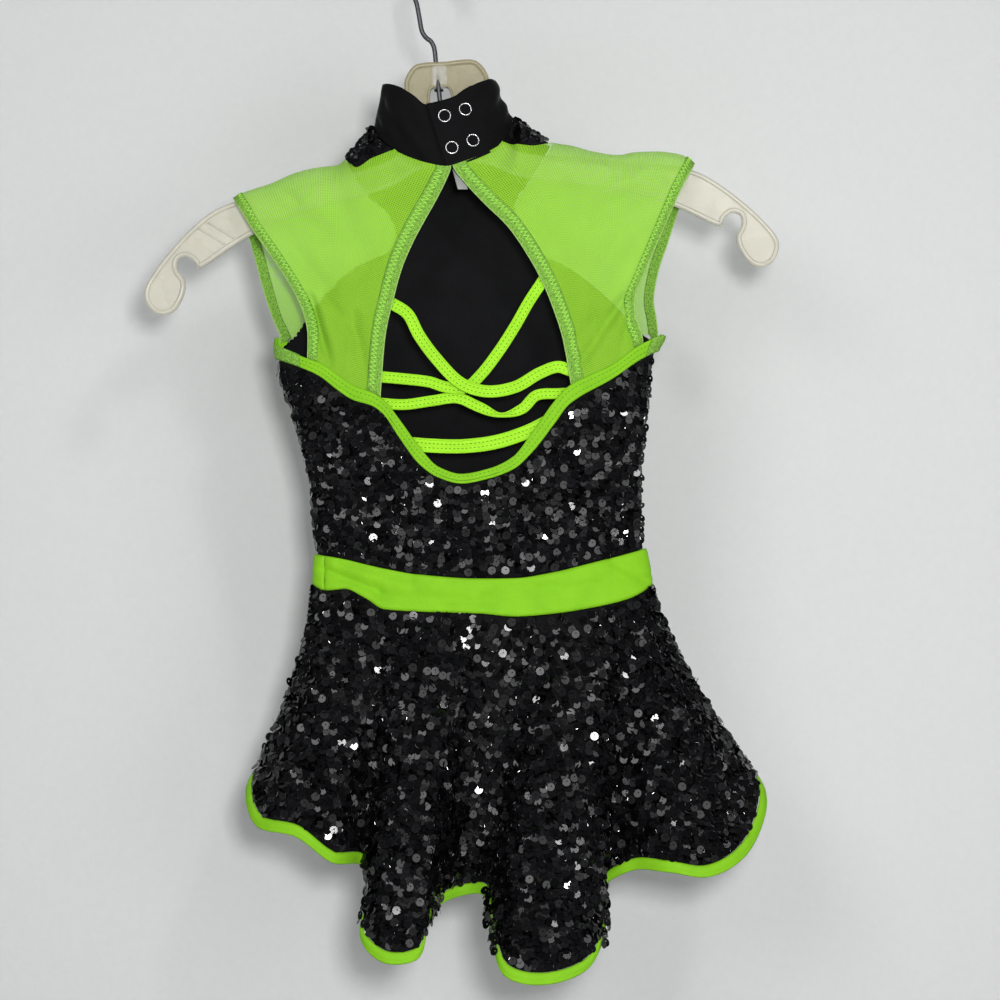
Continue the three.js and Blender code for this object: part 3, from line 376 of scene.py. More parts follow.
class Graph:
    """A material's node tree around one Principled shader."""

    def __init__(self, name: str, **sockets: object) -> None:
        """Make the material and set the shader's own sockets.

        Args:
            name: Material name.
            sockets: Shader socket names with _ for spaces, and their values.
        """
        self.material = bpy.data.materials.new(name)
        self.material.use_nodes = True
        self.tree = self.material.node_tree
        self.shader = self.tree.nodes["Principled BSDF"]
        for key, value in sockets.items():
            self.shader.inputs[key.replace("_", " ")].default_value = value

    def node(self, kind: str, inputs: dict[str | int, object] | None = None, **settings: object) -> bpy.types.Node:
        """Add a node.

        Args:
            kind: Node type name.
            inputs: Its sockets and their values, or the output sockets that feed them.
            settings: Its own settings.

        Returns:
            The node.
        """
        made = self.tree.nodes.new(kind)
        for key, value in settings.items():
            setattr(made, key, value)
        for key, value in (inputs or {}).items():
            if isinstance(value, bpy.types.NodeSocket):
                self.tree.links.new(value, made.inputs[key])
            else:
                made.inputs[key].default_value = value
        return made

    def feed(self, socket: str, source: bpy.types.NodeSocket) -> None:
        """Link a source into one of the shader's sockets."""
        self.tree.links.new(source, self.shader.inputs[socket])

    def cloth(self, turn: float = 0) -> bpy.types.NodeSocket:
        """Cloth coordinates in metres from the piece's own UV map, turned by an angle."""
        base = self.node("ShaderNodeUVMap", uv_map="cloth").outputs["UV"]
        return self.node("ShaderNodeMapping", {"Vector": base, "Rotation": (0, 0, turn)}).outputs["Vector"]

    def place(self) -> bpy.types.NodeSocket:
        """Object coordinates."""
        return self.node("ShaderNodeTexCoord").outputs["Object"]

    def noise(self, vector: bpy.types.NodeSocket, scale: float, detail: float = 3) -> bpy.types.NodeSocket:
        """Noise value at a scale, per metre."""
        return self.node("ShaderNodeTexNoise", {"Vector": vector, "Scale": scale, "Detail": detail}).outputs["Fac"]

    def wave(self, vector: bpy.types.NodeSocket, scale: float, direction: str = "X") -> bpy.types.NodeSocket:
        """Sine bands at a scale, per metre."""
        return self.node("ShaderNodeTexWave", {"Vector": vector, "Scale": scale},
                         bands_direction=direction, wave_profile="SIN").outputs["Fac"]

    def knit(self, scale: float) -> bpy.types.NodeSocket:
        """Sine bands both ways over the cloth, multiplied."""
        return self.math("MULTIPLY", self.wave(self.cloth(), scale), self.wave(self.cloth(), scale, "Y"))

    def math(self, operation: str, a: object, b: object) -> bpy.types.NodeSocket:
        """Result of a math node."""
        return self.node("ShaderNodeMath", {0: a, 1: b}, operation=operation).outputs[0]

    def spread(self, value: bpy.types.NodeSocket, low: float, high: float,
               start: float = 0, end: float = 1) -> bpy.types.NodeSocket:
        """Value carried from the range start..end to low..high."""
        return self.node("ShaderNodeMapRange", {"Value": value, "From Min": start, "From Max": end,
                                                "To Min": low, "To Max": high}).outputs["Result"]

    def tone(self, factor: bpy.types.NodeSocket, dark: Sequence[float], light: Sequence[float]) -> bpy.types.NodeSocket:
        """Colour between a dark and a light one by a factor."""
        mix = self.node("ShaderNodeMix", data_type="RGBA")
        self.tree.links.new(factor, mix.inputs["Factor"])
        mix.inputs[6].default_value = (*dark, 1)
        mix.inputs[7].default_value = (*light, 1)
        return mix.outputs[2]

    def relief(self, height: bpy.types.NodeSocket, strength: float, distance: float) -> None:
        """Bump the shader's normal by a height.

        Args:
            height: Height value.
            strength: Bump strength.
            distance: Height of a full value, in metres.
        """
        made = self.node("ShaderNodeBump", {"Height": height, "Strength": strength, "Distance": distance})
        self.feed("Normal", made.outputs["Normal"])


@dataclass(frozen=True)
class Finish:
    """A finish: its record slot and its one shared material."""

    slot: str = ""

    def graph(self) -> Graph:
        """Node graph of the finish."""
        raise NotImplementedError

    def material(self) -> bpy.types.Material:
        """The finish's material, made once."""
        name = type(self).__name__
        return bpy.data.materials.get(name) or self.graph().material


@dataclass(frozen=True)
class SequinGloss(Finish):
    """Glossy black plastic of the cup sequins, a little greyer on some."""

    slot: str = "sequin"

    def graph(self) -> Graph:
        """Black gloss, its tone and roughness by each sequin's shade."""
        g = Graph("SequinGloss", IOR=1.5, Specular_IOR_Level=0.32)
        shade = g.node("ShaderNodeAttribute", attribute_name="shade").outputs["Fac"]
        g.feed("Base Color", g.tone(shade, (0.0008, 0.0008, 0.001), (0.006, 0.006, 0.007)))
        g.feed("Roughness", g.spread(shade, 0.08, 0.2))
        return g


@dataclass(frozen=True)
class SequinBacking(Finish):
    """Matt black stretch cloth under the sequins, with a fine knit."""

    slot: str = "sequin"

    def graph(self) -> Graph:
        """Near black, with crossed fine ribs."""
        g = Graph("SequinBacking", Roughness=0.95, Specular_IOR_Level=0.2)
        ribs = g.knit(500)
        g.feed("Base Color", g.tone(ribs, (0.002, 0.002, 0.002), (0.008, 0.008, 0.009)))
        g.relief(ribs, 0.5, 0.0003)
        return g


@dataclass(frozen=True)
class BlackJersey(Finish):
    """Matt black jersey of the brief and the lining."""

    slot: str = "black_jersey"

    def graph(self) -> Graph:
        """Near black with faint lengthwise ribs and lint."""
        g = Graph("BlackJersey", Roughness=0.9, Specular_IOR_Level=0.15, Sheen_Weight=0.05, Sheen_Roughness=0.5)
        ribs = g.wave(g.cloth(), 420)
        lint = g.noise(g.cloth(), 60, 5)
        g.feed("Base Color", g.tone(g.math("MULTIPLY", ribs, lint), (0.002, 0.002, 0.0025), (0.010, 0.010, 0.012)))
        g.relief(ribs, 0.4, 0.0002)
        return g


@dataclass(frozen=True)
class Velvet(Finish):
    """Black stretch velvet with a short pile."""

    slot: str = "velvet"

    def graph(self) -> Graph:
        """Black, with a soft sheen and uneven pile."""
        g = Graph("Velvet", Roughness=0.8, Specular_IOR_Level=0.12, Sheen_Weight=0.12, Sheen_Roughness=0.3)
        pile = g.noise(g.cloth(), 1400, 2)
        patches = g.noise(g.cloth(), 90, 4)
        g.feed("Base Color", g.tone(g.math("MULTIPLY", pile, patches), (0.0008, 0.0008, 0.001), (0.006, 0.006, 0.0075)))
        g.relief(pile, 0.5, 0.0003)
        return g


@dataclass(frozen=True)
class PowerMesh(Finish):
    """See-through lime power mesh: a fine net with round holes."""

    slot: str = "lime_mesh"

    def graph(self) -> Graph:
        """Lime threads whose cover falls at each hole of the net."""
        g = Graph("PowerMesh", Roughness=0.8, Specular_IOR_Level=0.15)
        net = g.knit(330)
        cloudy = g.noise(g.cloth(), 45, 4)
        g.feed("Base Color", g.tone(cloudy, (0.28, 0.60, 0.03), (0.37, 0.76, 0.05)))
        g.feed("Alpha", g.spread(net, 0.70, 0.36))
        g.relief(net, 0.3, 0.0002)
        return g


@dataclass(frozen=True)
class TurnedMesh(Finish):
    """Doubled lime mesh of the turned edges."""

    slot: str = "lime_band"
    dark: tuple[float, float, float] = (0.07, 0.19, 0.018)
    light: tuple[float, float, float] = (0.27, 0.52, 0.075)

    def graph(self) -> Graph:
        """Mottled green with a fine net and uneven cover."""
        g = Graph(type(self).__name__, Roughness=0.8, Specular_IOR_Level=0.15)
        net = g.knit(300)
        cloudy = g.noise(g.cloth(), 900, 3)
        g.feed("Base Color", g.tone(g.math("ADD", g.math("MULTIPLY", net, 0.5), g.spread(cloudy, 0, 0.8, 0.35, 0.65)),
                                    self.dark, self.light))
        g.relief(net, 0.5, 0.0003)
        return g


@dataclass(frozen=True)
class FoldedEdge(TurnedMesh):
    """Outer fold of the turned mesh, painted lighter than the band as a painted highlight where it catches the light.
    """

    # painted highlight: a lighter copy of the turned mesh's tones
    dark: tuple[float, float, float] = (0.26, 0.47, 0.10)
    light: tuple[float, float, float] = (0.46, 0.70, 0.22)


@dataclass(frozen=True)
class LimeSpandex(Finish):
    """Matt lime spandex with a fine knit."""

    slot: str = "lime_spandex"
    dark: tuple[float, float, float] = (0.15, 0.41, 0.006)
    light: tuple[float, float, float] = (0.28, 0.63, 0.016)

    def graph(self) -> Graph:
        """Lime with fine ribs and soft patches of tone."""
        g = Graph(type(self).__name__, Roughness=0.7, Specular_IOR_Level=0.2)
        ribs = g.knit(420)
        patches = g.noise(g.cloth(), 70, 4)
        shade = g.math("ADD", g.math("MULTIPLY", ribs, 0.35), g.math("MULTIPLY", patches, 0.65))
        g.feed("Base Color", g.tone(shade, self.dark, self.light))
        g.relief(ribs, 0.35, 0.0002)
        return g


@dataclass(frozen=True)
class StrapSpandex(LimeSpandex):
    """The same spandex painted lighter over the straps, as painted light where the straps stand out and are lit more
    than the waistband.
    """

    # painted light: a lighter copy of the lime spandex tones
    dark: tuple[float, float, float] = (0.27, 0.62, 0.012)
    light: tuple[float, float, float] = (0.42, 0.86, 0.035)


@dataclass(frozen=True)
class LimeThread(Finish):
    """Lime sewing thread."""

    slot: str = "lime_band"
    roughness: float = 0.55
    specular: float = 0.4
    dark: tuple[float, float, float] = (0.26, 0.60, 0.05)
    light: tuple[float, float, float] = (0.42, 0.84, 0.10)

    def graph(self) -> Graph:
        """Green with a twist along the thread."""
        g = Graph(type(self).__name__, Roughness=self.roughness, Specular_IOR_Level=self.specular)
        twist = g.wave(g.cloth(0.6), 900)
        g.feed("Base Color", g.tone(twist, self.dark, self.light))
        return g


@dataclass(frozen=True)
class DeepThread(LimeThread):
    """Thread of the cover stitches, painted dark as painted shade of the lines where they sink into the spandex."""

    roughness: float = 0.7
    specular: float = 0.2
    # painted shade: dark tones stand for the shadow in the sunk stitch lines
    dark: tuple[float, float, float] = (0.03, 0.13, 0.004)
    light: tuple[float, float, float] = (0.09, 0.3, 0.01)


@dataclass(frozen=True)
class SatinLabel(Finish):
    """Blank white satin tape, painted grey as painted shade where it hangs inside the garment's neck."""

    slot: str = "label"

    def graph(self) -> Graph:
        """White satin painted down to grey as painted shade, with fine crosswise ribs."""
        g = Graph("SatinLabel", Roughness=0.5, Specular_IOR_Level=0.4)
        ribs = g.wave(g.cloth(), 700, "Y")
        # painted shade: grey tones stand for white satin lying in shadow
        g.feed("Base Color", g.tone(ribs, (0.22, 0.235, 0.22), (0.32, 0.335, 0.32)))
        g.relief(ribs, 0.3, 0.0001)
        return g


@dataclass(frozen=True)
class Nickel(Finish):
    """Nickel plating with faint scuffs."""

    slot: str = "nickel"

    def graph(self) -> Graph:
        """Bright metal, its roughness by fine scuffs."""
        g = Graph("Nickel", Metallic=1.0)
        scuff = g.noise(g.place(), 900, 4)
        g.feed("Base Color", g.tone(scuff, (0.55, 0.55, 0.56), (0.8, 0.8, 0.8)))
        g.feed("Roughness", g.spread(scuff, 0.15, 0.4))
        return g


@dataclass(frozen=True)
class Steel(Finish):
    """Dull dark steel wire."""

    slot: str = "steel"

    def graph(self) -> Graph:
        """Dark metal with drawn streaks."""
        g = Graph("Steel", Metallic=1.0)
        streaks = g.noise(g.place(), 700, 4)
        g.feed("Base Color", g.tone(streaks, (0.05, 0.05, 0.055), (0.16, 0.16, 0.17)))
        g.feed("Roughness", g.spread(streaks, 0.3, 0.5))
        return g


@dataclass(frozen=True)
class FrostedPlastic(Finish):
    """Frosted clear plastic, yellowed where the hub is thick and clearer where the yokes cover the arms."""

    slot: str = "clear_plastic"
    # z between which the arms' milky tone turns to the hub's
    arms_top: float = -0.112
    hub_foot: float = -0.094
    # x of the garment's middle, and how far from it the yokes reach
    middle: float = 0.010
    covered: tuple[float, float] = (0.108, 0.118)

    def graph(self) -> Graph:
        """Milky and slightly translucent, with a faint cloudiness."""
        g = Graph("FrostedPlastic", IOR=1.48, Subsurface_Weight=0.35, Subsurface_Scale=0.004, Specular_IOR_Level=0.5)
        g.shader.inputs["Subsurface Radius"].default_value = (1.0, 0.9, 0.75)
        cloud = g.noise(g.place(), 55, 4)
        place = g.node("ShaderNodeSeparateXYZ", {"Vector": g.place()}).outputs
        in_hub = g.spread(place["Z"], 0, 1, self.arms_top, self.hub_foot)
        arms = g.tone(cloud, (0.58, 0.555, 0.46), (0.71, 0.69, 0.585))
        hub = g.tone(cloud, (0.36, 0.32, 0.19), (0.46, 0.42, 0.27))
        mix = g.node("ShaderNodeMix", {6: arms, 7: hub}, data_type="RGBA")
        g.tree.links.new(in_hub, mix.inputs["Factor"])
        g.feed("Base Color", mix.outputs[2])
        g.feed("Roughness", g.spread(cloud, 0.2, 0.36))
        away = g.math("ABSOLUTE", g.math("SUBTRACT", place["X"], self.middle), 0)
        bare = g.math("MAXIMUM", g.spread(away, 0, 1, *self.covered), in_hub)
        g.feed("Alpha", g.math("MULTIPLY", g.spread(cloud, 0.62, 0.76), g.spread(bare, 0.25, 1.0)))
        return g


@dataclass(frozen=True)
class ClearPlastic(Finish):
    """Clear plastic of the boss round the wire."""

    slot: str = "clear_plastic"

    def graph(self) -> Graph:
        """Thin milky tint over what lies behind."""
        g = Graph("ClearPlastic", IOR=1.48, Specular_IOR_Level=0.6)
        cloud = g.noise(g.place(), 260, 3)
        g.feed("Base Color", g.tone(cloud, (0.66, 0.64, 0.56), (0.80, 0.79, 0.74)))
        g.feed("Roughness", g.spread(cloud, 0.08, 0.2))
        g.feed("Alpha", g.spread(cloud, 0.30, 0.5))
        return g


@dataclass(frozen=True)
class PaleWall(Finish):
    """Matt pale paint of the stage, on its lit side only, so that the wall hides nothing in views from behind it."""

    def graph(self) -> Graph:
        """Pale grey with the faint grain of a roller, clear from the unpainted side."""
        g = Graph("PaleWall", Roughness=0.9, Specular_IOR_Level=0.15)
        grain = g.noise(g.place(), 260, 3)
        unpainted = g.node("ShaderNodeNewGeometry").outputs["Backfacing"]
        g.feed("Alpha", g.math("SUBTRACT", 1, unpainted))
        g.feed("Base Color", g.tone(grain, (0.62, 0.625, 0.62), (0.66, 0.665, 0.66)))
        g.relief(grain, 0.15, 0.0008)
        return g


# Garment form

@dataclass
class Form:
    """Shape of the flat-hung garment: its sections, shoulder ridge, collar foot and edges."""

    section_power: float = 2.4
    roll_ratio: float = 1.2
    collar_reach: float = 26
    neck_ease: float = 2.0
    # height, left edge, right edge, back depth, front depth, edge depth
    sections: Rows = (
        (-78, -136, 154, 22, 22, 5.2), (-112, -136, 153, 21.5, 21, 5.2), (-130, -132, 147, 20, 19, 5.2),
        (-150, -123, 134, 18.5, 18, 6), (-180, -109, 125, 17, 18, 6.5), (-203, -99.5, 123, 16, 18, 5),
        (-214, -96.6, 118.5, 16, 18, 0), (-226, -95.7, 116, 16, 18, 0), (-253, -87.5, 113.5, 16, 17, 0),
        (-274, -81.5, 111, 16, 17, 0), (-296, -77.2, 110, 16, 16, 0), (-315, -76.5, 110.4, 16.5, 16, 0),
        (-330, -74.5, 112.2, 17, 16, 0), (-345, -75.5, 115, 17.5, 17, 0), (-365, -77, 117, 18, 18, 0),
    )
    # x, height of the ridge over the hanger's arms
    crest: Rows = (
        (-122, -129.5), (-114, -125), (-100, -120.4), (-85, -114), (-72, -111.1), (-62, -110), (-56.5, -105.5),
        (-50, -99.5), (-41, -88.5), (-20, -80), (10, -77), (37.2, -84.5), (48, -91.5), (58, -97), (70, -99),
        (82, -102.2), (96, -104.2), (106, -102.6), (118, -102.2), (132, -104), (140, -109.8),
    )
    # x, upper edge, lower edge of the binding on the scooped back
    back_binding: Rows = (
        (-97, -212, -219), (-78, -220, -226), (-71, -222.5, -229.5), (-60, -230, -238), (-52, -235.5, -243),
        (-42, -239, -246), (-35, -243.5, -251), (-27, -253.5, -263), (-15, -270, -279), (-5, -280.5, -286),
        (8, -284.6, -289.5), (24, -281.5, -286.5), (37, -275, -281.5), (48, -261, -271.5), (60, -244, -256),
        (68, -235.5, -245.5), (93, -223, -230.5), (109, -211.5, -219.5), (119, -207, -214.5),
    )
    # x, top and bottom edge of the waistband
    waist_back: Rows = (
        (-78, -329.5, -345), (-68, -330.4, -349.5), (-57, -332.2, -348.6), (-45, -335, -353.8),
        (-35, -337.2, -359.6), (-16, -340.4, -360.9), (18, -342.7, -361.9), (38, -342.4, -363.6),
        (57, -339.7, -362.3), (82, -333.8, -358.6), (103, -328.6, -353.5), (118, -324.6, -345),
    )
    waist_front: Rows = (
        (-78, -329.5, -345), (-68, -330.4, -349.5), (-30, -334, -356), (20, -336, -358), (70, -334, -356.5),
        (103, -328.6, -353.5), (118, -324.6, -345),
    )
    # side, seams of the shoulder pieces as x, height
    shoulder_seam: dict[Side, Rows] = field(default_factory=lambda: {
        Side.LEFT: ((-56.5, -106), (-50.5, -113.6), (-40, -107.5), (-29, -103)),
        Side.RIGHT: ((30, -97.6), (37, -100.4), (47, -101.2), (58, -98)),
    })
    # side, seams between the front bodice and the front yokes as x, height
    halter_seam: dict[Side, Rows] = field(default_factory=lambda: {
        Side.LEFT: ((-57, -106.5), (-45, -124), (-34, -133), (-28.5, -147), (-33, -158), (-54, -168),
                    (-72, -185), (-87, -207)),
        Side.RIGHT: ((58.5, -97.6), (46, -116), (38, -129), (41, -149), (53, -159.5), (71, -168),
                     (92, -184), (111, -205)),
    })

    def __post_init__(self) -> None:
        """Make the profiles of the tables."""
        self.left, self.right = Profile(self.sections, 1), Profile(self.sections, 2)
        self.depths = {Face.BACK: Profile(self.sections, 3), Face.FRONT: Profile(self.sections, 4)}
        self.edge = Profile(self.sections, 5)
        self.ridge = Profile(self.crest)
        self.binding_upper, self.binding_lower = Profile(self.back_binding, 1), Profile(self.back_binding, 2)
        self.waist_top = {Face.BACK: Profile(self.waist_back, 1), Face.FRONT: Profile(self.waist_front, 1)}
        self.waist_bottom = {Face.BACK: Profile(self.waist_back, 2), Face.FRONT: Profile(self.waist_front, 2)}
        self.seams = {side: Profile(rows) for side, rows in self.shoulder_seam.items()}
        self.collar = CollarForm()
        reach = self.collar.foot[1] + self.neck_ease
        self.foot_left, self.foot_right = self.collar.foot[0] - reach, self.collar.foot[0] + reach

    def depth(self, x: Array, z: Array, face: Face) -> Array:
        """Half depth of the garment.

        Args:
            x: Places across.
            z: Heights.
            face: Back or front.

        Returns:
            edge + (depth - edge) * (1 - across^p)^(1/p), times sqrt(1 - (1 - under)^2) below the ridge.
        """
        left, right = self.left(z), self.right(z)
        across = np.clip(np.abs((2 * x - left - right) / (right - left)), 0, 1)
        edge = self.edge(z)
        round_ = (1 - across**self.section_power) ** (1 / self.section_power)
        depth = edge + (self.depths[face](z) - edge) * round_
        under = np.clip((self.ridge(x) - z) / (self.roll_ratio * depth), 0, 1)
        return SEAM_GAP / 2 + depth * np.sqrt(1 - (1 - under) ** 2)

    def neck_edge(self, x: Array, face: Face) -> Array:
        """Points of the panels' neck edge, just outside the collar's foot."""
        cosine = np.clip((self.collar.foot[0] - x) / (self.collar.foot[1] + self.neck_ease), -1, 1)
        angle = np.degrees(np.arccos(cosine))
        point = self.collar.point(angle if face is Face.BACK else 360 - angle, np.ones_like(angle), self.neck_ease)
        point[..., 2] -= SEAM_GAP * 2
        return point

    def point(self, x: Array, z: Array, face: Face) -> Array:
        """Garment points at x and z, drawn to the collar's foot close below it.

        Args:
            x: Places across.
            z: Heights.
            face: Back or front.

        Returns:
            Points (x, -depth or depth, z), the depth mixed with the collar's by n^2 (3 - 2n) of the nearness n.
        """
        x, z = np.broadcast_arrays(x, z)
        depth = self.depth(x, z, face)
        foot = self.neck_edge(x, face)
        near = np.clip(1 - (foot[..., 2] - z) / self.collar_reach, 0, 1)
        near = np.where((x > self.foot_left) & (x < self.foot_right), near, 0)
        lift = np.abs(foot[..., 1]) + SEAM_GAP / 2 - self.depth(x, foot[..., 2], face)
        depth = depth + lift * near**2 * (3 - 2 * near)
        return np.stack([x, face.value * depth, z], -1)

    def tube_x(self, share: Array, z: Array) -> Array:
        """x at a share of the tube's width: mid - half * cos(pi * share)."""
        left, right = self.left(z), self.right(z)
        return (left + right) / 2 - (right - left) / 2 * np.cos(np.pi * share)

    def tube_z(self, share: Array, edge: Profile, start: float) -> Array:
        """Height on the tube at a share of its width, where an edge is given by x."""
        z = np.full(np.shape(share), float(start))
        for _ in range(8):
            z = edge(self.tube_x(share, z))
        return z

    def panel(self, face: Face, upper: Profile, lower: Profile, start: float,
              shrink: tuple[float, float] = (0, 0)) -> Surface:
        """Panel of the tube between two edges that are given by x, drawn in by shrink at each."""
        def surface(share: Array, v: Array) -> Array:
            """Points at shares of the width, v 0 at the upper edge to 1 at the lower."""
            z = lerp(self.tube_z(share, upper, start) - shrink[0], self.tube_z(share, lower, start) + shrink[1], v)
            return self.point(self.tube_x(share, z), z, face)
        return surface


@dataclass
class CollarForm:
    """Elliptic stand collar: foot and top as centre x, half width, half depth, with edges by angle."""

    foot: tuple[float, float, float] = (-1.8, 39, 22.5)
    top: tuple[float, float, float] = (-5, 31, 19.5)
    # how far the over end stands out and the under end in, the angles where both start, and how fast
    lap: float = 1.3
    lap_starts: tuple[float, float] = (30, -170)
    lap_fade: float = 40
    # angles of the band's under end, and of its over end at the top and the foot
    ends: tuple[float, float, float] = (128, -281, -268)
    # angle, foot height, top height
    edges: Rows = (
        (0, -88, -65), (25, -95.5, -65.5), (45, -102.5, -68), (62, -108, -73), (78, -111.8, -79),
        (92, -113.6, -77.6), (106, -110.8, -75), (120, -107, -70), (138, -101, -65.5), (155, -93.5, -63.2),
        (180, -84, -64), (225, -96, -67), (270, -106, -71), (315, -98, -68.5), (360, -88, -65),
    )

    def __post_init__(self) -> None:
        """Make the profiles of the edges."""
        self.foot_z, self.top_z = Profile(self.edges, 1), Profile(self.edges, 2)

    def point(self, angle: Array, drop: Array, offset: Array | float = 0) -> Array:
        """Points of the collar.

        Args:
            angle: Degrees from the left side round the back.
            drop: 0 at the top edge, 1 at the foot.
            offset: Distance outwards.

        Returns:
            (centre - width * cos, -depth * sin, height between the edges).
        """
        angle, drop = np.broadcast_arrays(np.asarray(angle, float), drop)
        turn, a = angle % 360, np.radians(angle)
        centre, width, depth = (lerp(t, f, drop) for t, f in zip(self.top, self.foot))
        z = lerp(self.top_z(turn), self.foot_z(turn), drop)
        return np.stack([centre - (width + offset) * np.cos(a), -(depth + offset) * np.sin(a), z], -1)

    def band(self, u: Array, v: Array) -> Array:
        """The lapped band: u from its under end to its over end, v from top to foot."""
        start, over_top, over_foot = self.ends
        angle = lerp(start, lerp(over_top, over_foot, v), u)
        under = np.clip((angle - self.lap_starts[0]) / self.lap_fade, 0, 1)
        over = np.clip((self.lap_starts[1] - angle) / self.lap_fade, 0, 1)
        return self.point(angle, v, self.lap * (over - under))


FORM = Form()


# Sequins

@dataclass
class Sequins:
    """Flat round sequins sewn in rows: an eccentric hole, a flat middle and a slightly raised rim."""

    radius: float = 2.5
    middle: float = 2.3
    hole: float = 0.4
    hole_centre: tuple[float, float, float] = (0.3, 0.55, 0)
    cup: float = 0.08
    sides: int = 11
    # pitch across the rows and along them, and how far each place strays (millimetres, and a share across)
    across: float = 3.9
    along: float = 3.15
    stray: float = 0.25
    stray_share: float = 0.0012
    # depth of the cloth inside the form, and height above it, with the most that chance and looseness add
    inset: float = 1.7
    lift: float = 0.7
    chance_lift: float = 1.5
    loose_lift: float = 0.4
    # degrees: steady lean, spread of both tilts, the same of loose ones and their share, then spin in radians
    lean: float = 8
    tilt: float = 13
    loose_share: float = 0.1
    loose_tilt: float = 25
    spin: float = 0.3
    # how much cover() turns the normals to the back, and the seed of all draws
    level: float = 0.0
    seed: int = 7

    def template(self) -> tuple[Array, Array]:
        """One sequin.

        Returns:
            Its points (hole, middle and rim circles) and its two rings of quads.
        """
        a = 2 * np.pi * (np.arange(self.sides) + 0.5) / self.sides
        circle = np.stack([np.cos(a), np.sin(a), np.zeros_like(a)], -1)
        hole = circle * self.hole + self.hole_centre
        rim = circle * self.radius + [0, 0, self.cup]
        faces = grid_faces(3, self.sides, closed=True)[:, ::-1]
        return np.concatenate([hole, circle * self.middle, rim]), faces

    def build(self, name: str, points: Array, normals: Array, downs: Array, finish: Finish,
              proud: Array | float = 0.0) -> bpy.types.Object:
        """Sequins of a piece joined as one mesh.

        Args:
            name: Piece name.
            points: Cloth point under each sequin.
            normals: Outward cloth direction at each.
            downs: Direction of its row.
            finish: The sequins' finish.
            proud: How much further out each stands.

        Returns:
            The joined mesh: p + n * (lift - inset) + T R for the template T, R from each sequin's frame and tilts.
        """
        rng = np.random.default_rng(self.seed)
        count = len(points)
        loose = rng.random(count) < self.loose_share
        sigma = np.radians(np.where(loose, self.loose_tilt, self.tilt))
        lean = np.radians(self.lean) + rng.normal(size=count) * sigma
        roll = rng.normal(size=count) * sigma
        down = unit(downs - (downs * normals).sum(-1, keepdims=True) * normals)
        spin = rng.normal(size=count)[:, None] * self.spin
        side = np.cross(down, normals)
        up = unit(-down * np.cos(spin) + side * np.sin(spin))
        side = np.cross(up, normals)
        cos, sin = np.cos(lean)[:, None], np.sin(lean)[:, None]
        up2, normal2 = up * cos - normals * sin, normals * cos + up * sin
        cos, sin = np.cos(roll)[:, None], np.sin(roll)[:, None]
        side3, normal3 = side * cos - normal2 * sin, normal2 * cos + side * sin
        vertices, faces = self.template()
        axes = np.stack([side3, up2, normal3], 1)
        lift = self.lift - self.inset + proud + rng.random(count) ** 2 * self.chance_lift + loose * self.loose_lift
        places = (points + normals * lift[:, None])[:, None] + np.einsum("vk,nkc->nvc", vertices, axes)
        all_faces = (faces[None] + (np.arange(count) * len(vertices))[:, None, None]).reshape(-1, 4)
        shade = np.repeat(rng.random(count) ** 2, len(vertices))
        return make_object(name, places, all_faces, finish, smooth=False, shade=shade)

    def rows(self, surface: Surface, trim: float = 1.6) -> tuple[Array, Array]:
        """Places of vertical rows on a panel.

        Args:
            surface: The panel.
            trim: Distance kept from the ends of each row.

        Returns:
            u and v of each sequin: columns even by arc length at mid height, places even down each.
        """
        rng = np.random.default_rng(self.seed)
        fine = np.linspace(0, 1, 400)
        width = self.travel(sheet_points(surface, fine, np.array([0.5]))[0][None])[0]
        columns = np.interp(np.arange(trim, width[-1] - trim, self.across), width, fine)
        steps = np.linspace(0, 1, 60)
        down = self.travel(sheet_points(surface, columns, steps).transpose(1, 0, 2))
        slots = np.arange(int(down.max() / self.along) + 1)
        wanted = trim + (slots[None] + rng.random((len(columns), 1))) * self.along
        wanted = wanted + rng.normal(size=wanted.shape) * self.stray
        at = np.clip((down[:, None, :] <= wanted[:, :, None]).sum(-1) - 1, 0, len(steps) - 2)
        low = np.take_along_axis(down, at, 1)
        high = np.take_along_axis(down, at + 1, 1)
        v = (at + (wanted - low) / np.maximum(high - low, 1e-6)) / (len(steps) - 1)
        keep = wanted < down[:, -1:] - trim
        u = np.repeat(columns[:, None], wanted.shape[1], 1) + rng.normal(size=wanted.shape) * self.stray_share
        return np.clip(u[keep], 0.001, 0.999), np.clip(v[keep], 0, 1)

    def under(self, points: Array, more: float = 0.0) -> Array:
        """Grid of the cloth under the sequins, drawn in by the inset and more, so that they end at the form."""
        return points - grid_normals(points) * outward(points) * (self.inset + more)

    @staticmethod
    def travel(points: Array) -> Array:
        """Lengths travelled along the second axis of points."""
        steps = np.linalg.norm(np.diff(points, axis=1), axis=-1)
        return np.concatenate([np.zeros((len(points), 1)), np.cumsum(steps, 1)], 1)

    def cover(self, name: str, surface: Surface, u: Array, v: Array, finish: Finish) -> bpy.types.Object:
        """Sequins on a surface at u and v, facing away from the garment's middle."""
        step = 0.002
        along = surface(u + step, v) - surface(u - step, v)
        down = surface(u, v + step) - surface(u, v - step)
        normal = unit(np.cross(down, along))
        sign = outward(sheet_points(surface, np.linspace(0.02, 0.98, 40), np.linspace(0.05, 0.95, 12)))
        return self.build(name, surface(u, v), unit(normal * sign + [0, -self.level, 0]), unit(down), finish)


# Bodice

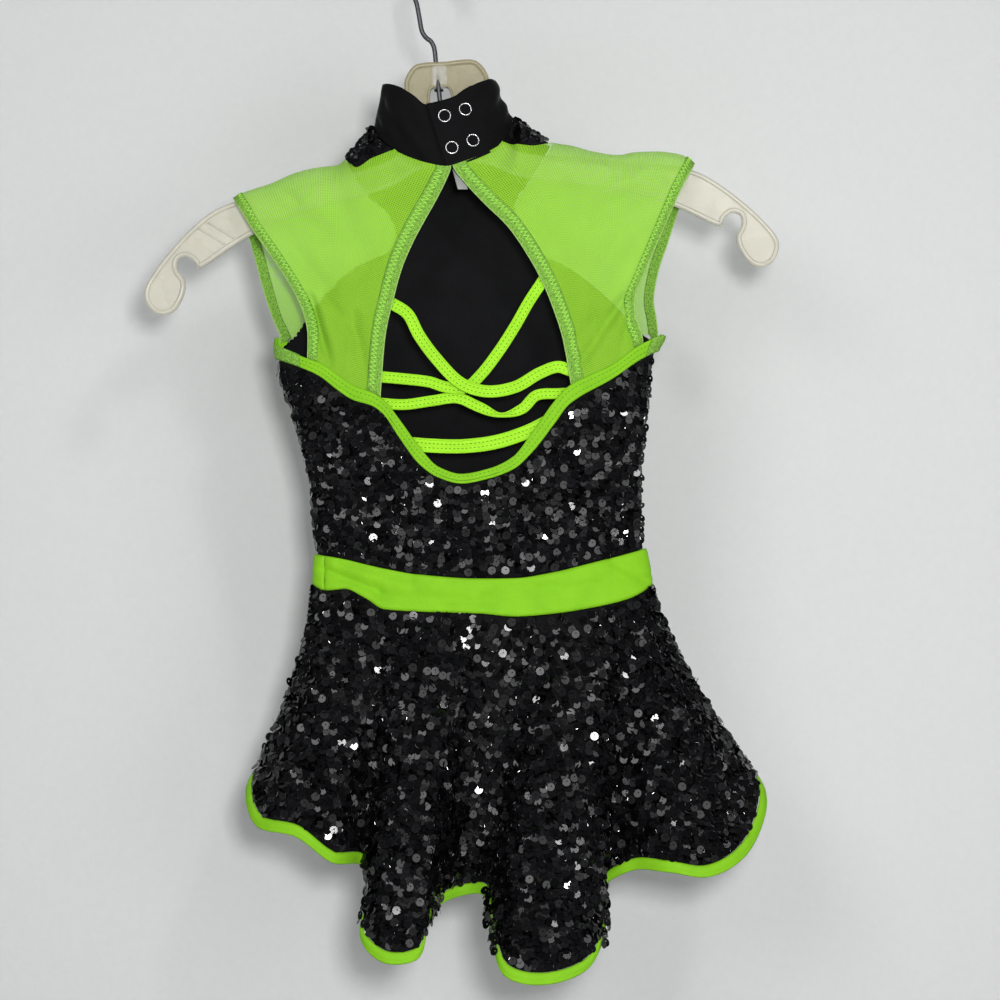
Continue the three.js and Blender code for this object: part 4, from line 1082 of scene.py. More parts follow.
@dataclass
class Underarm:
    """Ends of the back binding under each arm: share of the tube's width reached, and rise, at both edges."""

    reach: tuple[float, float] = (0.05, 0.12)
    rise: dict[Side, tuple[float, float]] = field(default_factory=lambda: {
        Side.LEFT: (5.7, 10.2), Side.RIGHT: (2.3, 7.4)})

    def point(self, side: Side, along: Array, across: Array) -> Array:
        """Points under an arm.

        Args:
            side: Which arm.
            along: 0 at the side seam to 1 at the yoke's corner.
            across: 0 to 1 down the binding.

        Returns:
            Points on the front of the tube at the edge's height plus along * rise.
        """
        along, across = np.broadcast_arrays(np.asarray(along, float), across)
        share = along * lerp(*self.reach, across)
        start = np.zeros_like(share) if side is Side.LEFT else np.ones_like(share)
        share = share if side is Side.LEFT else 1 - share
        z = lerp(FORM.tube_z(start, FORM.binding_upper, -214), FORM.tube_z(start, FORM.binding_lower, -214), across)
        z = z + along * lerp(*self.rise[side], across)
        return FORM.point(FORM.tube_x(share, z), z, Face.FRONT)


UNDERARM = Underarm()


def halter_curve(side: Side) -> Path:
    """Halter seam from the shoulder ridge down to the underarm, as (x, z)."""
    rows = [list(row) for row in FORM.halter_seam[side]]
    rows[0][1] = float(FORM.ridge(rows[0][0]))
    return Path(rows)


@dataclass
class Bodices:
    """Sequin cloth of the back, the halter front and the two pieces beside the collar."""

    cloth: float = 0.8
    side_share: float = 0.42
    underarm_share: float = 0.52
    sequins: Sequins = field(default_factory=Sequins)
    small: Sequins = field(default_factory=lambda: Sequins(
        across=3.0, along=2.4, inset=0.9, level=1.2, lean=14, seed=5))
    # how much deeper the front's cloth lies, since its sequins are seen past their edges from behind
    front_inset: float = 1.0
    # x0, z0, x1, z1, depth, half width of the soft creases
    back_creases: Rows = (
        (-72, -300, -40, -318, 1.6, 7), (100, -262, 78, -284, 1.8, 7), (20, -318, 44, -300, 1.2, 9),
        (-30, -322, -6, -306, 1.0, 8), (104, -300, 84, -316, 1.4, 6), (-66, -262, -50, -280, 1.2, 7),
    )

    def back(self, share: Array, v: Array) -> Array:
        """Back panel from the binding to the waistband, with its creases."""
        panel = FORM.panel(Face.BACK, FORM.binding_lower, FORM.waist_top[Face.BACK], -260, (SEAM_GAP, SEAM_GAP))
        points = panel(share, v)
        points[..., 1] += sum(crease(points[..., 0], points[..., 2], line) for line in self.back_creases)
        return points

    def front_edge(self, side: Side, v: Array) -> Array:
        """Side and halter edge of the front as (x, z), from the waist up."""
        body_edge = FORM.left if side is Side.LEFT else FORM.right
        waist = FORM.waist_top[Face.FRONT](body_edge(-329)) + SEAM_GAP
        low = lerp(waist, UNDERARM.point(side, 0.0, 1.0)[2] - SEAM_GAP, v / self.side_share)
        along = np.clip((v - self.side_share) / (self.underarm_share - self.side_share), 0, 1)
        under = UNDERARM.point(side, along, np.ones_like(along))
        curve = halter_curve(side)
        corner, seam_end = UNDERARM.point(side, 1.0, 1.0), curve(1.0)
        seam = curve(1 - np.clip((v - self.underarm_share) / (1 - self.underarm_share), 0, 1))
        x = np.where(v <= self.side_share, body_edge(low), np.where(
            v <= self.underarm_share, under[..., 0] + along * (seam_end[0] - corner[0]), seam[..., 0]))
        z = np.where(v <= self.side_share, low, np.where(
            v <= self.underarm_share, under[..., 2] - SEAM_GAP + along * (seam_end[1] - corner[2]), seam[..., 1]))
        return np.stack([x, z], -1)

    def front(self, u: Array, v: Array) -> Array:
        """Front panel: rows between its two edges, closed by the waist below and the neck above.

        Args:
            u: Across, as an angle share.
            v: From the waist up to the ridge.

        Returns:
            Points of the front face.
        """
        share = (1 - np.cos(np.pi * u)) / 2
        row, bottom, top = (lerp(self.front_edge(Side.LEFT, at), self.front_edge(Side.RIGHT, at), share[..., None])
                            for at in (v, np.zeros_like(share), np.ones_like(share)))
        z = (row[..., 1] + (1 - v) ** 2 * (FORM.waist_top[Face.FRONT](bottom[..., 0]) + SEAM_GAP - bottom[..., 1])
             + v**3 * (self.neck(top[..., 0], Face.FRONT) - top[..., 1]))
        points = FORM.point(row[..., 0], np.minimum(z, self.neck(row[..., 0], Face.FRONT)), Face.FRONT)
        points[..., 1] = np.maximum(points[..., 1], 0.5)
        return points

    @staticmethod
    def neck(x: Array, face: Face) -> Array:
        """Height of a face's top edge: the ridge, or the collar's foot where it is lower."""
        inside = (x > FORM.foot_left) & (x < FORM.foot_right)
        return np.where(inside, np.minimum(FORM.ridge(x), FORM.neck_edge(x, face)[..., 2]), FORM.ridge(x))

    def shoulder(self, side: Side) -> Surface:
        """Piece beside the collar, between the ridge or the collar's foot and the shoulder seam."""
        seam = FORM.shoulder_seam[side]
        first, last = seam[0][0] + 1.2, seam[-1][0] - 1.2

        def surface(u: Array, v: Array) -> Array:
            """Points across, v 0 at the top to 1 at the seam."""
            x = lerp(first, last, u)
            return FORM.point(x, lerp(self.neck(x, Face.BACK), FORM.seams[side](x) + SEAM_GAP * 2, v), Face.BACK)
        return surface

    def build(self) -> list[bpy.types.Object]:
        """Panels, lining and sequins.

        Returns:
            The new pieces.
        """
        made = []
        rows = np.linspace(0, 1, 44)
        columns = np.linspace(0, 1, 80)
        gloss, backing = SequinGloss(), SequinBacking()
        points = self.sequins.under(sheet_points(self.back, columns, rows))
        back = cloth_sheet("back_bodice_cloth", points, backing, self.cloth)
        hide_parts("back_bodice")
        u, v = self.sequins.rows(self.back, 2.3)
        back_sequins = self.sequins.cover("back_bodice_sequins", self.back, u, v, gloss)
        points = self.sequins.under(sheet_points(self.front, columns, rows), self.front_inset)
        front = cloth_sheet("front_bodice_cloth", points, BlackJersey(), self.cloth)
        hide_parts("front_bodice")
        u, v = self.sequins.rows(self.front)
        front_sequins = self.sequins.cover("front_bodice_sequins", self.front, u, v, gloss)
        made += [back, back_sequins, front, front_sequins]
        for side in Side:
            surface = self.shoulder(side)
            points = sheet_points(surface, np.linspace(0, 1, 24), np.linspace(0, 1, 14) ** 1.8)
            piece = cloth_sheet(f"shoulder_{side.value}_cloth", self.small.under(points), backing, self.cloth)
            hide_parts(f"shoulder_piece_{side.value}")
            u, v = self.small.rows(surface, 1.5)
            cover = self.small.cover(f"shoulder_{side.value}_sequins", surface, u, v, gloss)
            made += [piece, cover]
        return made


# Yokes

@dataclass
class Yokes:
    """Lime mesh yokes of both sides, their turned and zigzagged armhole and keyhole edges."""

    armhole_width: float = 6.0
    keyhole_width: float = 8.0
    mesh_wall: float = 0.0
    band_wall: float = 1.1
    stitch_pitch: float = 2.4
    # how far the mesh runs on under its bands
    tucked: float = 1.5
    # heights and x of the open edges
    armhole_back: dict[Side, Rows] = field(default_factory=lambda: {
        Side.LEFT: ((-129, -120.5), (-138, -114.4), (-148, -108.4), (-159, -100.6), (-171, -92.4), (-184, -84.5),
                    (-196, -79.6), (-206, -77.8), (-221, -78.2)),
        Side.RIGHT: ((-110, 139), (-126, 130.3), (-135, 126.3), (-158, 116.2), (-174, 109.2), (-185, 105),
                     (-193, 104.9), (-206, 109), (-214, 110.6)),
    })
    armhole_front: dict[Side, Rows] = field(default_factory=lambda: {
        Side.LEFT: ((-129, -120.5), (-150, -113.3), (-164, -109.3), (-179, -105.2), (-195, -99.9), (-205, -95.4)),
        Side.RIGHT: ((-110, 139), (-132, 132), (-152, 125.4), (-171, 119.4), (-185, 117.3), (-196, 118.8),
                     (-203, 119.5)),
    })
    keyhole: dict[Side, Rows] = field(default_factory=lambda: {
        Side.LEFT: ((-112, 2.6), (-115.5, 2.3), (-119.5, 0.8), (-130, -4.5), (-143, -12), (-156, -19),
                    (-170, -25), (-184, -29), (-208, -34.4), (-239, -37)),
        Side.RIGHT: ((-112, 2.9), (-115.5, 4.2), (-122, 9.3), (-133.5, 20.2), (-147, 34.1), (-161, 44),
                     (-173, 51), (-186, 57), (-210, 65), (-236, 69.6)),
    })
    # x0, z0, x1, z1, depth, half width of the creases in the mesh
    creases: dict[Side, Rows] = field(default_factory=lambda: {
        Side.LEFT: ((-76, -186, -66, -222, 3.6, 2.6), (-102, -128, -70, -150, 2.4, 6), (-96, -122, -84, -132, 2.0, 3),
                    (-112, -130, -92, -142, 1.6, 4), (-60, -132, -44, -170, 2.0, 7), (-84, -160, -66, -182, 2.0, 5),
                    (-52, -196, -46, -228, 2.0, 3.4), (-70, -184, -52, -204, 1.4, 2.4)),
        Side.RIGHT: ((99, -186, 72, -226, 4.0, 2.8), (118, -122, 84, -140, 2.4, 6), (85, -103, 94, -113, 2.2, 2.6),
                     (110, -108, 90, -120, 1.6, 4), (62, -118, 70, -150, 2.0, 7), (98, -150, 84, -176, 2.0, 5),
                     (86, -196, 68, -214, 2.2, 4), (104, -190, 98, -214, 1.8, 2.4)),
    })

    def top(self, side: Side, x: Array) -> Array:
        """Top edge of a back yoke by x: ridge, shoulder seam, or collar's foot."""
        seam = FORM.shoulder_seam[side]
        first, last = seam[0][0], seam[-1][0]
        over = x < first if side is Side.LEFT else x > last
        under_seam = FORM.seams[side](x) - SEAM_GAP * 1.5
        return np.where((x >= first) & (x <= last), under_seam,
                        np.where(over, FORM.ridge(x), FORM.neck_edge(x, Face.BACK)[..., 2]))

    def back(self, side: Side) -> Surface:
        """Back yoke with its bands, ruled from armhole (u 0) to keyhole (u 1), top to binding (v 0 to 1)."""
        edges = [(Profile(rows), rows) for rows in (self.armhole_back[side], self.keyhole[side])]

        def edge(which: int, v: Array) -> Array:
            """Open edge (0 armhole, 1 keyhole) as (x, z)."""
            profile, rows = edges[which]
            z = lerp(self.top(side, np.float64(rows[0][1])), FORM.binding_upper(rows[-1][1]) + SEAM_GAP, v)
            return np.stack([profile(z), z], -1)

        def ruled(u: Array, v: Array) -> Array:
            """Straight rows between the two edges as (x, z)."""
            return lerp(edge(0, v), edge(1, v), u[..., None])

        def surface(u: Array, v: Array) -> Array:
            """Rows drawn to the top and the binding, with the creases."""
            u, v = np.broadcast_arrays(u, v)
            row, top, bottom = ruled(u, v), ruled(u, np.zeros_like(v)), ruled(u, np.ones_like(v))
            z = (row[..., 1] + (1 - v) * (self.top(side, top[..., 0]) - top[..., 1])
                 + v * (FORM.binding_upper(bottom[..., 0]) + SEAM_GAP - bottom[..., 1]))
            x = row[..., 0]
            limit = np.minimum(FORM.ridge(x), self.top(side, x))
            points = FORM.point(x, np.minimum(z, limit), Face.BACK)
            fade = np.clip(v * 8, 0, 1) * np.clip((1 - v) * 10, 0.25, 1)
            points[..., 1] += fade * sum(crease(x, z, line) for line in self.creases[side])
            return points
        return surface

    def front(self, side: Side) -> Surface:
        """Front yoke with its band, ruled from armhole (u 0) to halter seam (u 1), ridge to underarm."""
        rows = self.armhole_front[side]
        armhole, seam = Profile(rows), halter_curve(side)
        inward = (-1 if side is Side.LEFT else 1) * SEAM_GAP * 3

        def ruled(u: Array, v: Array) -> Array:
            """Straight rows between armhole and halter seam as (x, z)."""
            z = lerp(FORM.ridge(rows[0][1]), rows[-1][0], v)
            return lerp(np.stack([armhole(z), z], -1), seam(v) + [inward, 0], u[..., None])

        def surface(u: Array, v: Array) -> Array:
            """Rows drawn up to the ridge."""
            u, v = np.broadcast_arrays(u, v)
            row, top = ruled(u, v), ruled(u, np.zeros_like(v))
            z = row[..., 1] + (1 - v) ** 2 * (FORM.ridge(top[..., 0]) - top[..., 1])
            return FORM.point(row[..., 0], np.minimum(z, FORM.ridge(row[..., 0])), Face.FRONT)
        return surface

    @staticmethod
    def band_share(surface: Surface, v: Array, edge: float, width: float) -> Array:
        """Share of each row that a band takes, measured square to the edge."""
        step = 0.02
        u = np.full_like(v, edge)
        across = surface(np.abs(u - step), v) - surface(u, v)
        along = unit(surface(u, np.minimum(v + step, 1)) - surface(u, np.maximum(v - step, 0)))
        square = np.linalg.norm(across - (across * along).sum(-1, keepdims=True) * along, axis=-1)
        return np.clip(width * step / np.maximum(square, 1e-6), 0, 0.8)

    def between(self, surface: Surface, outer: float, inner: float) -> Surface:
        """Middle of a yoke between its bands."""
        def middle(u: Array, v: Array) -> Array:
            """Points with u 0 to 1 between the bands."""
            start = self.band_share(surface, v, 0.0, outer)
            end = 1 - (self.band_share(surface, v, 1.0, inner) if inner else 0)
            return surface(lerp(start, end, u), v)
        return middle

    def armhole_band(self, side: Side) -> Surface:
        """Armhole band: v -1 at the front's underarm, over the ridge at 0, to 1 at the back binding."""
        front, back = self.front(side), self.back(side)

        def surface(u: Array, v: Array) -> Array:
            """Points of the front's band for v below 0 and the back's above."""
            row = np.abs(v)
            shares = [self.band_share(face, row, 0.0, self.armhole_width - SEAM_GAP) for face in (front, back)]
            points = np.where((v < 0)[..., None], front(u * shares[0], row), back(u * shares[1], row))
            near = 1 - np.clip(row * 20, 0, 1)
            points[..., 1] -= np.sign(points[..., 1]) * SEAM_GAP / 2 * near
            return points
        return surface

    def keyhole_band(self, side: Side) -> Surface:
        """Band along the open back, u 0 at its inner edge, 1 at the keyhole."""
        back = self.back(side)

        def surface(u: Array, v: Array) -> Array:
            """Points of the last part of each row."""
            share = self.band_share(back, v, 1.0, self.keyhole_width - SEAM_GAP)
            return back(1 - share * (1 - u), v)
        return surface

    def zigzag(self, name: str, band: Surface, rows: tuple[float, float],
               reach: tuple[float, float]) -> bpy.types.Object:
        """Zigzag stitches on a band.

        Args:
            name: Piece name.
            band: The band's surface.
            rows: v at both ends.
            reach: u of the stitches' two edges.

        Returns:
            One thread that turns at every stitch, proud of the cloth, with short stitches from edge to edge.
        """
        v = np.linspace(*rows, 600)
        travel = Sequins.travel(band(np.full_like(v, 0.5), v)[None])[0]
        turns = np.arange(1.0, travel[-1] - 1.0, self.stitch_pitch / 2)
        at = np.interp(turns, travel, v)
        u = np.where(np.arange(len(at)) % 2 == 0, *reach)
        fine = np.linspace(0, 1, 4 * (len(at) - 1) + 1)
        knots = np.linspace(0, 1, len(at))
        u, at = np.interp(fine, knots, u), np.interp(fine, knots, at)
        step = 0.004
        down = band(u, at + step) - band(u, at - step)
        side = band(u + 0.02, at) - band(u - 0.02, at)
        normal = unit(np.cross(down, side))
        centre = band(u, at)
        normal *= facing(centre, normal)
        return sweep(name, LimeThread(), centre + normal * (self.band_wall / 2 + 0.12), normal, 0.26, 0.2, sides=5)

    def folded_edge(self, name: str, band: Surface, u: float, v: Array) -> bpy.types.Object:
        """Thin roll along a band's open edge at one u."""
        points = band(np.full_like(v, u), v)
        return sweep(name, FoldedEdge(), points, to_viewer(points), 0.38, self.band_wall / 2 + 0.1)

    def build(self) -> list[bpy.types.Object]:
        """Mesh, bands and stitches of both sides.

        Returns:
            The new pieces.
        """
        made = []
        rows = np.linspace(0, 1, 70) ** 1.5
        for side in Side:
            name = side.value
            back, front = self.back(side), self.front(side)
            mesh = PowerMesh()
            armhole_reach, keyhole_reach = self.armhole_width - self.tucked, self.keyhole_width - self.tucked
            back_points = sheet_points(self.between(back, armhole_reach, keyhole_reach), np.linspace(0, 1, 60), rows)
            front_points = sheet_points(self.between(front, armhole_reach, 0), np.linspace(0, 1, 40), rows)
            back_piece = cloth_sheet(f"back_yoke_{name}_mesh", back_points, mesh, self.mesh_wall)
            front_piece = cloth_sheet(f"front_yoke_{name}_mesh", front_points, mesh, self.mesh_wall)
            both = np.concatenate([[-1.07], -rows[:0:-1], rows])
            armhole, keyhole = self.armhole_band(side), self.keyhole_band(side)
            armhole_piece = cloth_sheet(f"armhole_{name}_band", sheet_points(armhole, np.linspace(0, 1, 7), both),
                                        TurnedMesh(), self.band_wall)
            keyhole_piece = cloth_sheet(f"keyhole_{name}_band", sheet_points(keyhole, np.linspace(0, 1, 8), rows),
                                        TurnedMesh(), self.band_wall)
            stitches = [self.zigzag(f"armhole_{name}_stitches", armhole, (-0.97, 0.985), (0.5, 0.92)),
                        self.zigzag(f"keyhole_{name}_stitches", keyhole, (0.01, 0.985), (0.12, 0.55)),
                        self.folded_edge(f"armhole_{name}_edge", armhole, 0.02, both),
                        self.folded_edge(f"keyhole_{name}_edge", keyhole, 0.98, rows)]
            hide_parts(f"back_yoke_{name}")
            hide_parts(f"front_yoke_{name}")
            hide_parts(f"armhole_band_{name}")
            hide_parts(f"keyhole_band_{name}")
            made += [back_piece, front_piece, armhole_piece, keyhole_piece, *stitches]
        return made


# Bindings, straps and waistband

@dataclass
class Trims:
    """Lime bindings and straps: back binding, waistband and the four straps across the open back."""

    binding_wall: float = 1.1
    crown: float = 0.6
    # v, share of the crown and half width of the groove beside a folded edge
    groove: tuple[float, float, float] = (0.72, 0.7, 0.09)
    # share of its pitch that a stitch covers, and its arch
    stitch: tuple[float, float] = (0.42, 0.12)
    strap_half_height: float = 0.75
    # how far the straps' middle lies inside the form: bands, gap, strap and play
    strap_inset: float = 0.9 + SEAM_GAP + 0.7 + 0.2
    # crease lines of the waistband: x, z, x, z, depth, half width
    wrinkles: Rows = (
        (-68, -338, -38, -349, 2.6, 3.2), (-60, -333, -20, -343, 1.6, 2.6), (92, -333, 112, -345, 1.8, 3.2),
        (20, -354, 84, -346, 1.4, 3.6), (-36, -352, 10, -354, 1.3, 3.0), (30, -347, 60, -346, 1.0, 2.6),
        (-68.6, -331, -68.6, -349, 1.0, 0.9),
    )
    # width and points x, z, how far out from the bands' inside
    straps: dict[str, tuple[float, Rows]] = field(default_factory=lambda: {
        "strap_a": (6.8, ((-31, -189, 0), (-22, -195, 1), (-15.5, -207, 2), (-6, -220, 4), (8, -234, 5),
                          (22, -238.5, 5), (38, -236, 3), (52, -228, 1), (62, -224.5, 0), (69, -226.5, 0))),
        "strap_b": (6.4, ((-38, -230, 0), (-22, -231.5, 0.5), (-10, -233, 1), (0, -236, 1.4), (11, -236, 1.6),
                          (19, -229, 1.6), (29, -216, 1.4), (38, -202, 1), (46, -188, 0.4), (54, -176, 0))),
        "strap_c": (6.2, ((-39, -244.6, -1), (-24, -245.6, -0.6), (-8, -243.5, 0), (6, -242, 0), (18, -247, 0),
                          (30, -251.5, 0), (42, -248, 0), (50, -240.5, -0.6), (62, -239.4, -1), (71, -239, -1))),
        "strap_d": (8.0, ((-27, -267, -1), (-8, -268.6, 0), (10, -268.8, 0), (28, -266.4, 0), (46, -260.4, -1),
                          (56, -255.4, -1))),
    })
    # binding's ends that the armhole's turned mesh covers
    covered: dict[Side, tuple[float, float]] = field(default_factory=lambda: {
        Side.LEFT: (-0.9, 0.165), Side.RIGHT: (0.89, 1.9)})
    # strap, share along it where it twists, how far, half length of the twist
    twist: tuple[str, float, float, float] = ("strap_c", 0.56, 1.2, 0.07)

    def binding(self, u: Array, v: Array) -> Array:
        """Back binding: u 0 to 1 over the back, and on under each arm from -1 and to 2."""
        under = np.where((u < 0)[..., None], UNDERARM.point(Side.LEFT, np.clip(-u, 0, 1), v),
                         UNDERARM.point(Side.RIGHT, np.clip(u - 1, 0, 1), v))
        share = np.clip(u, 0, 1)
        z = lerp(FORM.tube_z(share, FORM.binding_upper, -230), FORM.tube_z(share, FORM.binding_lower, -230), v)
        back = FORM.point(FORM.tube_x(share, z), z, Face.BACK)
        return np.where(((u >= 0) & (u <= 1))[..., None], back, under)

    def waistband(self, u: Array, v: Array) -> Array:
        """Waistband: u 0 to 1 over the back, 1 to 2 back along the front, with wrinkles near its sides."""
        share = np.where(u <= 1, u, 2 - u)
        panels = [FORM.panel(face, FORM.waist_top[face], FORM.waist_bottom[face], -340) for face in Face]
        points = np.where((u <= 1)[..., None], panels[0](share, v), panels[1](share, v))
        x, z = points[..., 0], points[..., 2]
        points[..., 1] -= np.sign(points[..., 1]) * sum(crease(x, z, line) for line in self.wrinkles)
        return points

    def crowned(self, points: Array, height: float) -> Array:
        """Grid raised outwards by height * (1 - (2v - 1)^4) across its rows, with the groove of its folded edge."""
        v = np.linspace(0, 1, len(points))[:, None]
        middle, share, half = self.groove
        rise = height * (1 - (2 * v - 1) ** 4) - share * height * bump(v, middle, half)
        return points + grid_normals(points) * outward(points) * rise[..., None]

    def stitched_line(self, name: str, points: Array, normals: Array, pitch: float, radius: float) -> bpy.types.Object:
        """Row of short straight stitches along a line.

        Args:
            name: Piece name.
            points: Points of the line.
            normals: Cloth direction at each.
            pitch: Length of a stitch with its gap.
            radius: Thread radius.

        Returns:
            Joined stitches, each arched by a sine over its length.
        """
        travel = Sequins.travel(points[None])[0]
        starts = np.arange(1.0, travel[-1] - pitch, pitch)
        covered, arch = self.stitch
        share = np.linspace(0, covered, 4)
        at = starts[:, None] + share[None] * pitch
        place = np.stack([np.interp(at, travel, points[:, k]) for k in range(3)], -1)
        normal = unit(np.stack([np.interp(at, travel, normals[:, k]) for k in range(3)], -1))
        place = place + normal * (arch * np.sin(np.pi * share / covered))[None, :, None]
        # the stitches take the dark painted-shade thread
        return sweep(name, DeepThread(), place, normal, radius, radius * 0.8, sides=5)

    def strap(self, name: str) -> list[bpy.types.Object]:
        """One strap with its two stitch lines.

        Args:
            name: Node name of the strap.

        Returns:
            The ribbon, a flattened bar along its centre line, and its stitches.
        """
        width, rows = self.straps[name]
        table = np.asarray(rows, float)
        y = self.strap_inset - FORM.depth(table[:, 0], table[:, 1], Face.BACK) - table[:, 2]
        t = np.linspace(0, 1, 120)
        centre = Path(np.stack([table[:, 0], y, table[:, 1]], -1))(t)
        twisted = bump(t, self.twist[1], self.twist[3]) * (name == self.twist[0])
        turn = self.twist[2] * twisted
        half = width / 2 * (1 - 0.4 * twisted)
        wobble = 0.18 * np.sin(9 * t + width)
        along = unit(np.gradient(centre, axis=0))
        normal = np.stack([np.zeros_like(t), -np.cos(turn + wobble), np.sin(turn + wobble)], -1)
        across = unit(np.cross(along, normal))
        normal = unit(np.cross(across, along))
        # strap and folds take the lighter, painted-light copy of the spandex
        piece = sweep(f"{name}_cloth", StrapSpandex(), centre, normal, half, self.strap_half_height * 0.7, sides=16)
        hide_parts(name)
        made = [piece]
        edge = self.strap_half_height * 0.8
        for word, sign in (("upper", 1), ("lower", -1)):
            line = centre + across * (sign * (half - edge))[:, None]
            made.append(sweep(f"{name}_{word}_fold", StrapSpandex(), line, normal, edge,
                              self.strap_half_height * 1.15, sides=10))
        for index, offset in enumerate((-1.2, 1.2)):
            line = centre + across * offset + normal * (self.strap_half_height * 0.62)
            made.append(self.stitched_line(f"{name}_stitches_{index + 1}", line, normal, 2.3, 0.2))
        return made

    def end_cover(self, side: Side, reach: tuple[float, float]) -> bpy.types.Object:
        """Turned mesh of the armhole carried over the binding's end, between two u."""
        points = sheet_points(self.binding, np.linspace(*reach, 40), np.linspace(-0.12, 0.98, 9))
        points = self.crowned(points, self.crown) + grid_normals(points) * outward(points) * 0.9
        return cloth_sheet(f"underarm_{side.value}_mesh", points, TurnedMesh(), 0.5)

    def edge_stitches(self, name: str, surface: Surface, u: Array, v: float, lift: float) -> bpy.types.Object:
        """Straight stitches along a binding at one v."""
        at = np.full_like(u, v)
        step = 0.05
        points = surface(u, at)
        normal = unit(np.cross(surface(u, at + step) - surface(u, at - step), np.gradient(points, axis=0)))
        normal *= facing(points, normal)
        return self.stitched_line(name, points + normal * lift, normal, 2.4, 0.16)

    def build(self) -> list[bpy.types.Object]:
        """Bindings, waistband and straps.

        Returns:
            The new pieces.
        """
        finish = LimeSpandex()
        u = np.concatenate([np.linspace(-1, -0.02, 16), np.linspace(0, 1, 150), np.linspace(1.02, 2, 16)])
        points = self.crowned(sheet_points(self.binding, u, np.linspace(0, 1, 17)), self.crown)
        binding = cloth_sheet("back_binding_cloth", points, finish, self.binding_wall)
        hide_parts("back_binding")
        inner = np.linspace(0.02, 0.98, 500)
        stitches = [self.edge_stitches(f"back_binding_stitches_{index + 1}", self.binding, inner, v,
                                       self.binding_wall / 2 + lift)
                    for index, (v, lift) in enumerate(((0.3, 0.6), (0.72, 0.12)))]
        round_ = np.linspace(0.004, 1.996, 420)
        band_points = self.crowned(sheet_points(self.waistband, round_, np.linspace(0, 1, 14)), 0.7)
        waistband = cloth_sheet("waistband_cloth", band_points, finish, 1.2)
        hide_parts("waistband")
        straps = [piece for name in self.straps for piece in self.strap(name)]
        covers = [self.end_cover(side, reach) for side, reach in self.covered.items()]
        return [binding, *stitches, waistband, *straps, *covers]


# Collar

@dataclass
class Collar:
    """Velvet stand collar with its folds, four ring snaps and the blank label."""

    wall: float = 1.5
    ring: tuple[float, float] = (3.3, 0.42)
    snap_lift: float = 1.5
    # x, drop of each snap
    snaps: Rows = ((-1.1, 0.25), (10.1, 0.28), (3.0, 0.76), (14.3, 0.77))
    # angle, drop, angle, drop, depth, half width in degrees: folds pushed into the band
    folds: Rows = (
        (20, 0.42, 66, 0.98, 2.6, 13), (14, 0.8, 50, 1.1, 1.8, 10), (118, 0.78, 172, 0.4, 2.8, 13),
        (140, 0.98, 176, 0.8, 2.0, 11), (26, 0.12, 56, 0.3, 1.2, 12),
        (215, 0.3, 250, 0.8, 1.2, 10), (290, 0.8, 325, 0.4, 1.2, 10),
    )
    # millimetres that the folds' drops count as, and how deep the ridge beside each is
    fold_scale: float = 60
    ridge: float = 0.6
    # turn that the lap is centred on, its half width and its fade: no folds there
    flat_lap: tuple[float, float, float] = (104, 24, 12)
    # width, length, then x, y, z of its top's middle
    label: tuple[float, float, float, float, float] = (5.6, 11.0, 6.0, -18.9, -115.2)

    def band(self, u: Array, v: Array) -> Array:
        """Lapped band with its folds: each pushes the cloth in, with a ridge beside it."""
        points = FORM.collar.band(u, v)
        start, over_top, over_foot = FORM.collar.ends
        angle = lerp(start, lerp(over_top, over_foot, v), u)
        turn, fall, push = angle % 360, v * self.fold_scale, 0
        for a0, d0, a1, d1, depth, width in self.folds:
            line = (a0, d0 * self.fold_scale, a1, d1 * self.fold_scale, depth, width)
            push = push + (crease(turn, fall, line) - self.ridge * crease(turn, fall + width * 1.1, line))
        middle, half, fade = self.flat_lap
        lapped = np.clip((np.abs(turn - middle) - half) / fade, 0, 1)
        inwards = np.stack([np.cos(np.radians(angle)), np.sin(np.radians(angle)), np.zeros_like(angle)], -1)
        return points + inwards * (push * lapped)[..., None]

    def snap(self, index: int, x: float, drop: float) -> bpy.types.Object:
        """One ring snap: a round bar bent to a ring on the lap.

        Args:
            index: Number of the snap.
            x: Place across.
            drop: Share of the way down the collar.

        Returns:
            The ring.
        """
        form = FORM.collar
        centre = lerp(form.top[0], form.foot[0], drop)
        width = lerp(form.top[1], form.foot[1], drop) + form.lap
        angle = np.float64(np.degrees(np.arccos((centre - x) / width)))
        middle = form.point(angle, drop, form.lap)
        across = unit(form.point(angle + 1, drop, form.lap) - form.point(angle - 1, drop, form.lap))
        up = unit(form.point(angle, drop - 0.05, form.lap) - form.point(angle, drop + 0.05, form.lap))
        normal = unit(np.cross(across, up))
        normal = normal if normal[1] < 0 else -normal
        up = np.cross(normal, across)
        a = np.linspace(0, 2 * np.pi, 33)[:-1, None]
        radius, half = self.ring
        points = middle + normal * self.snap_lift + radius * (np.cos(a) * across + np.sin(a) * up)
        piece = sweep(f"snap_{index}_ring", Nickel(), points, np.broadcast_to(normal, points.shape), half, half,
                      sides=10, closed=True)
        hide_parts(f"snap_ring_{index}")
        return piece

    def build(self) -> list[bpy.types.Object]:
        """Collar, snaps and label.

        Returns:
            The new pieces.
        """
        points = sheet_points(self.band, np.linspace(0, 1, 200), np.linspace(0, 1.05, 30))
        collar = cloth_sheet("collar_velvet", points, Velvet(), self.wall, FORM.collar.foot[0])
        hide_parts("collar")
        rings = [self.snap(i + 1, *row) for i, row in enumerate(self.snaps)]
        width, length, x, y, z = self.label
        u, v = np.meshgrid(np.linspace(0, 1, 12), np.linspace(0, 1, 20))
        leaning, waved = x + (u - 0.5) * width + 3.0 * v, y + 0.5 * np.sin(2.4 * v) + 0.2 * np.sin(3 * u)
        tab = np.stack([leaning, waved, z - v * length], -1)
        label = cloth_sheet("label_tab", tab, SatinLabel(), 0.4)
        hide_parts("neck_label")
        return [collar, *rings, label]


# Skirt and brief

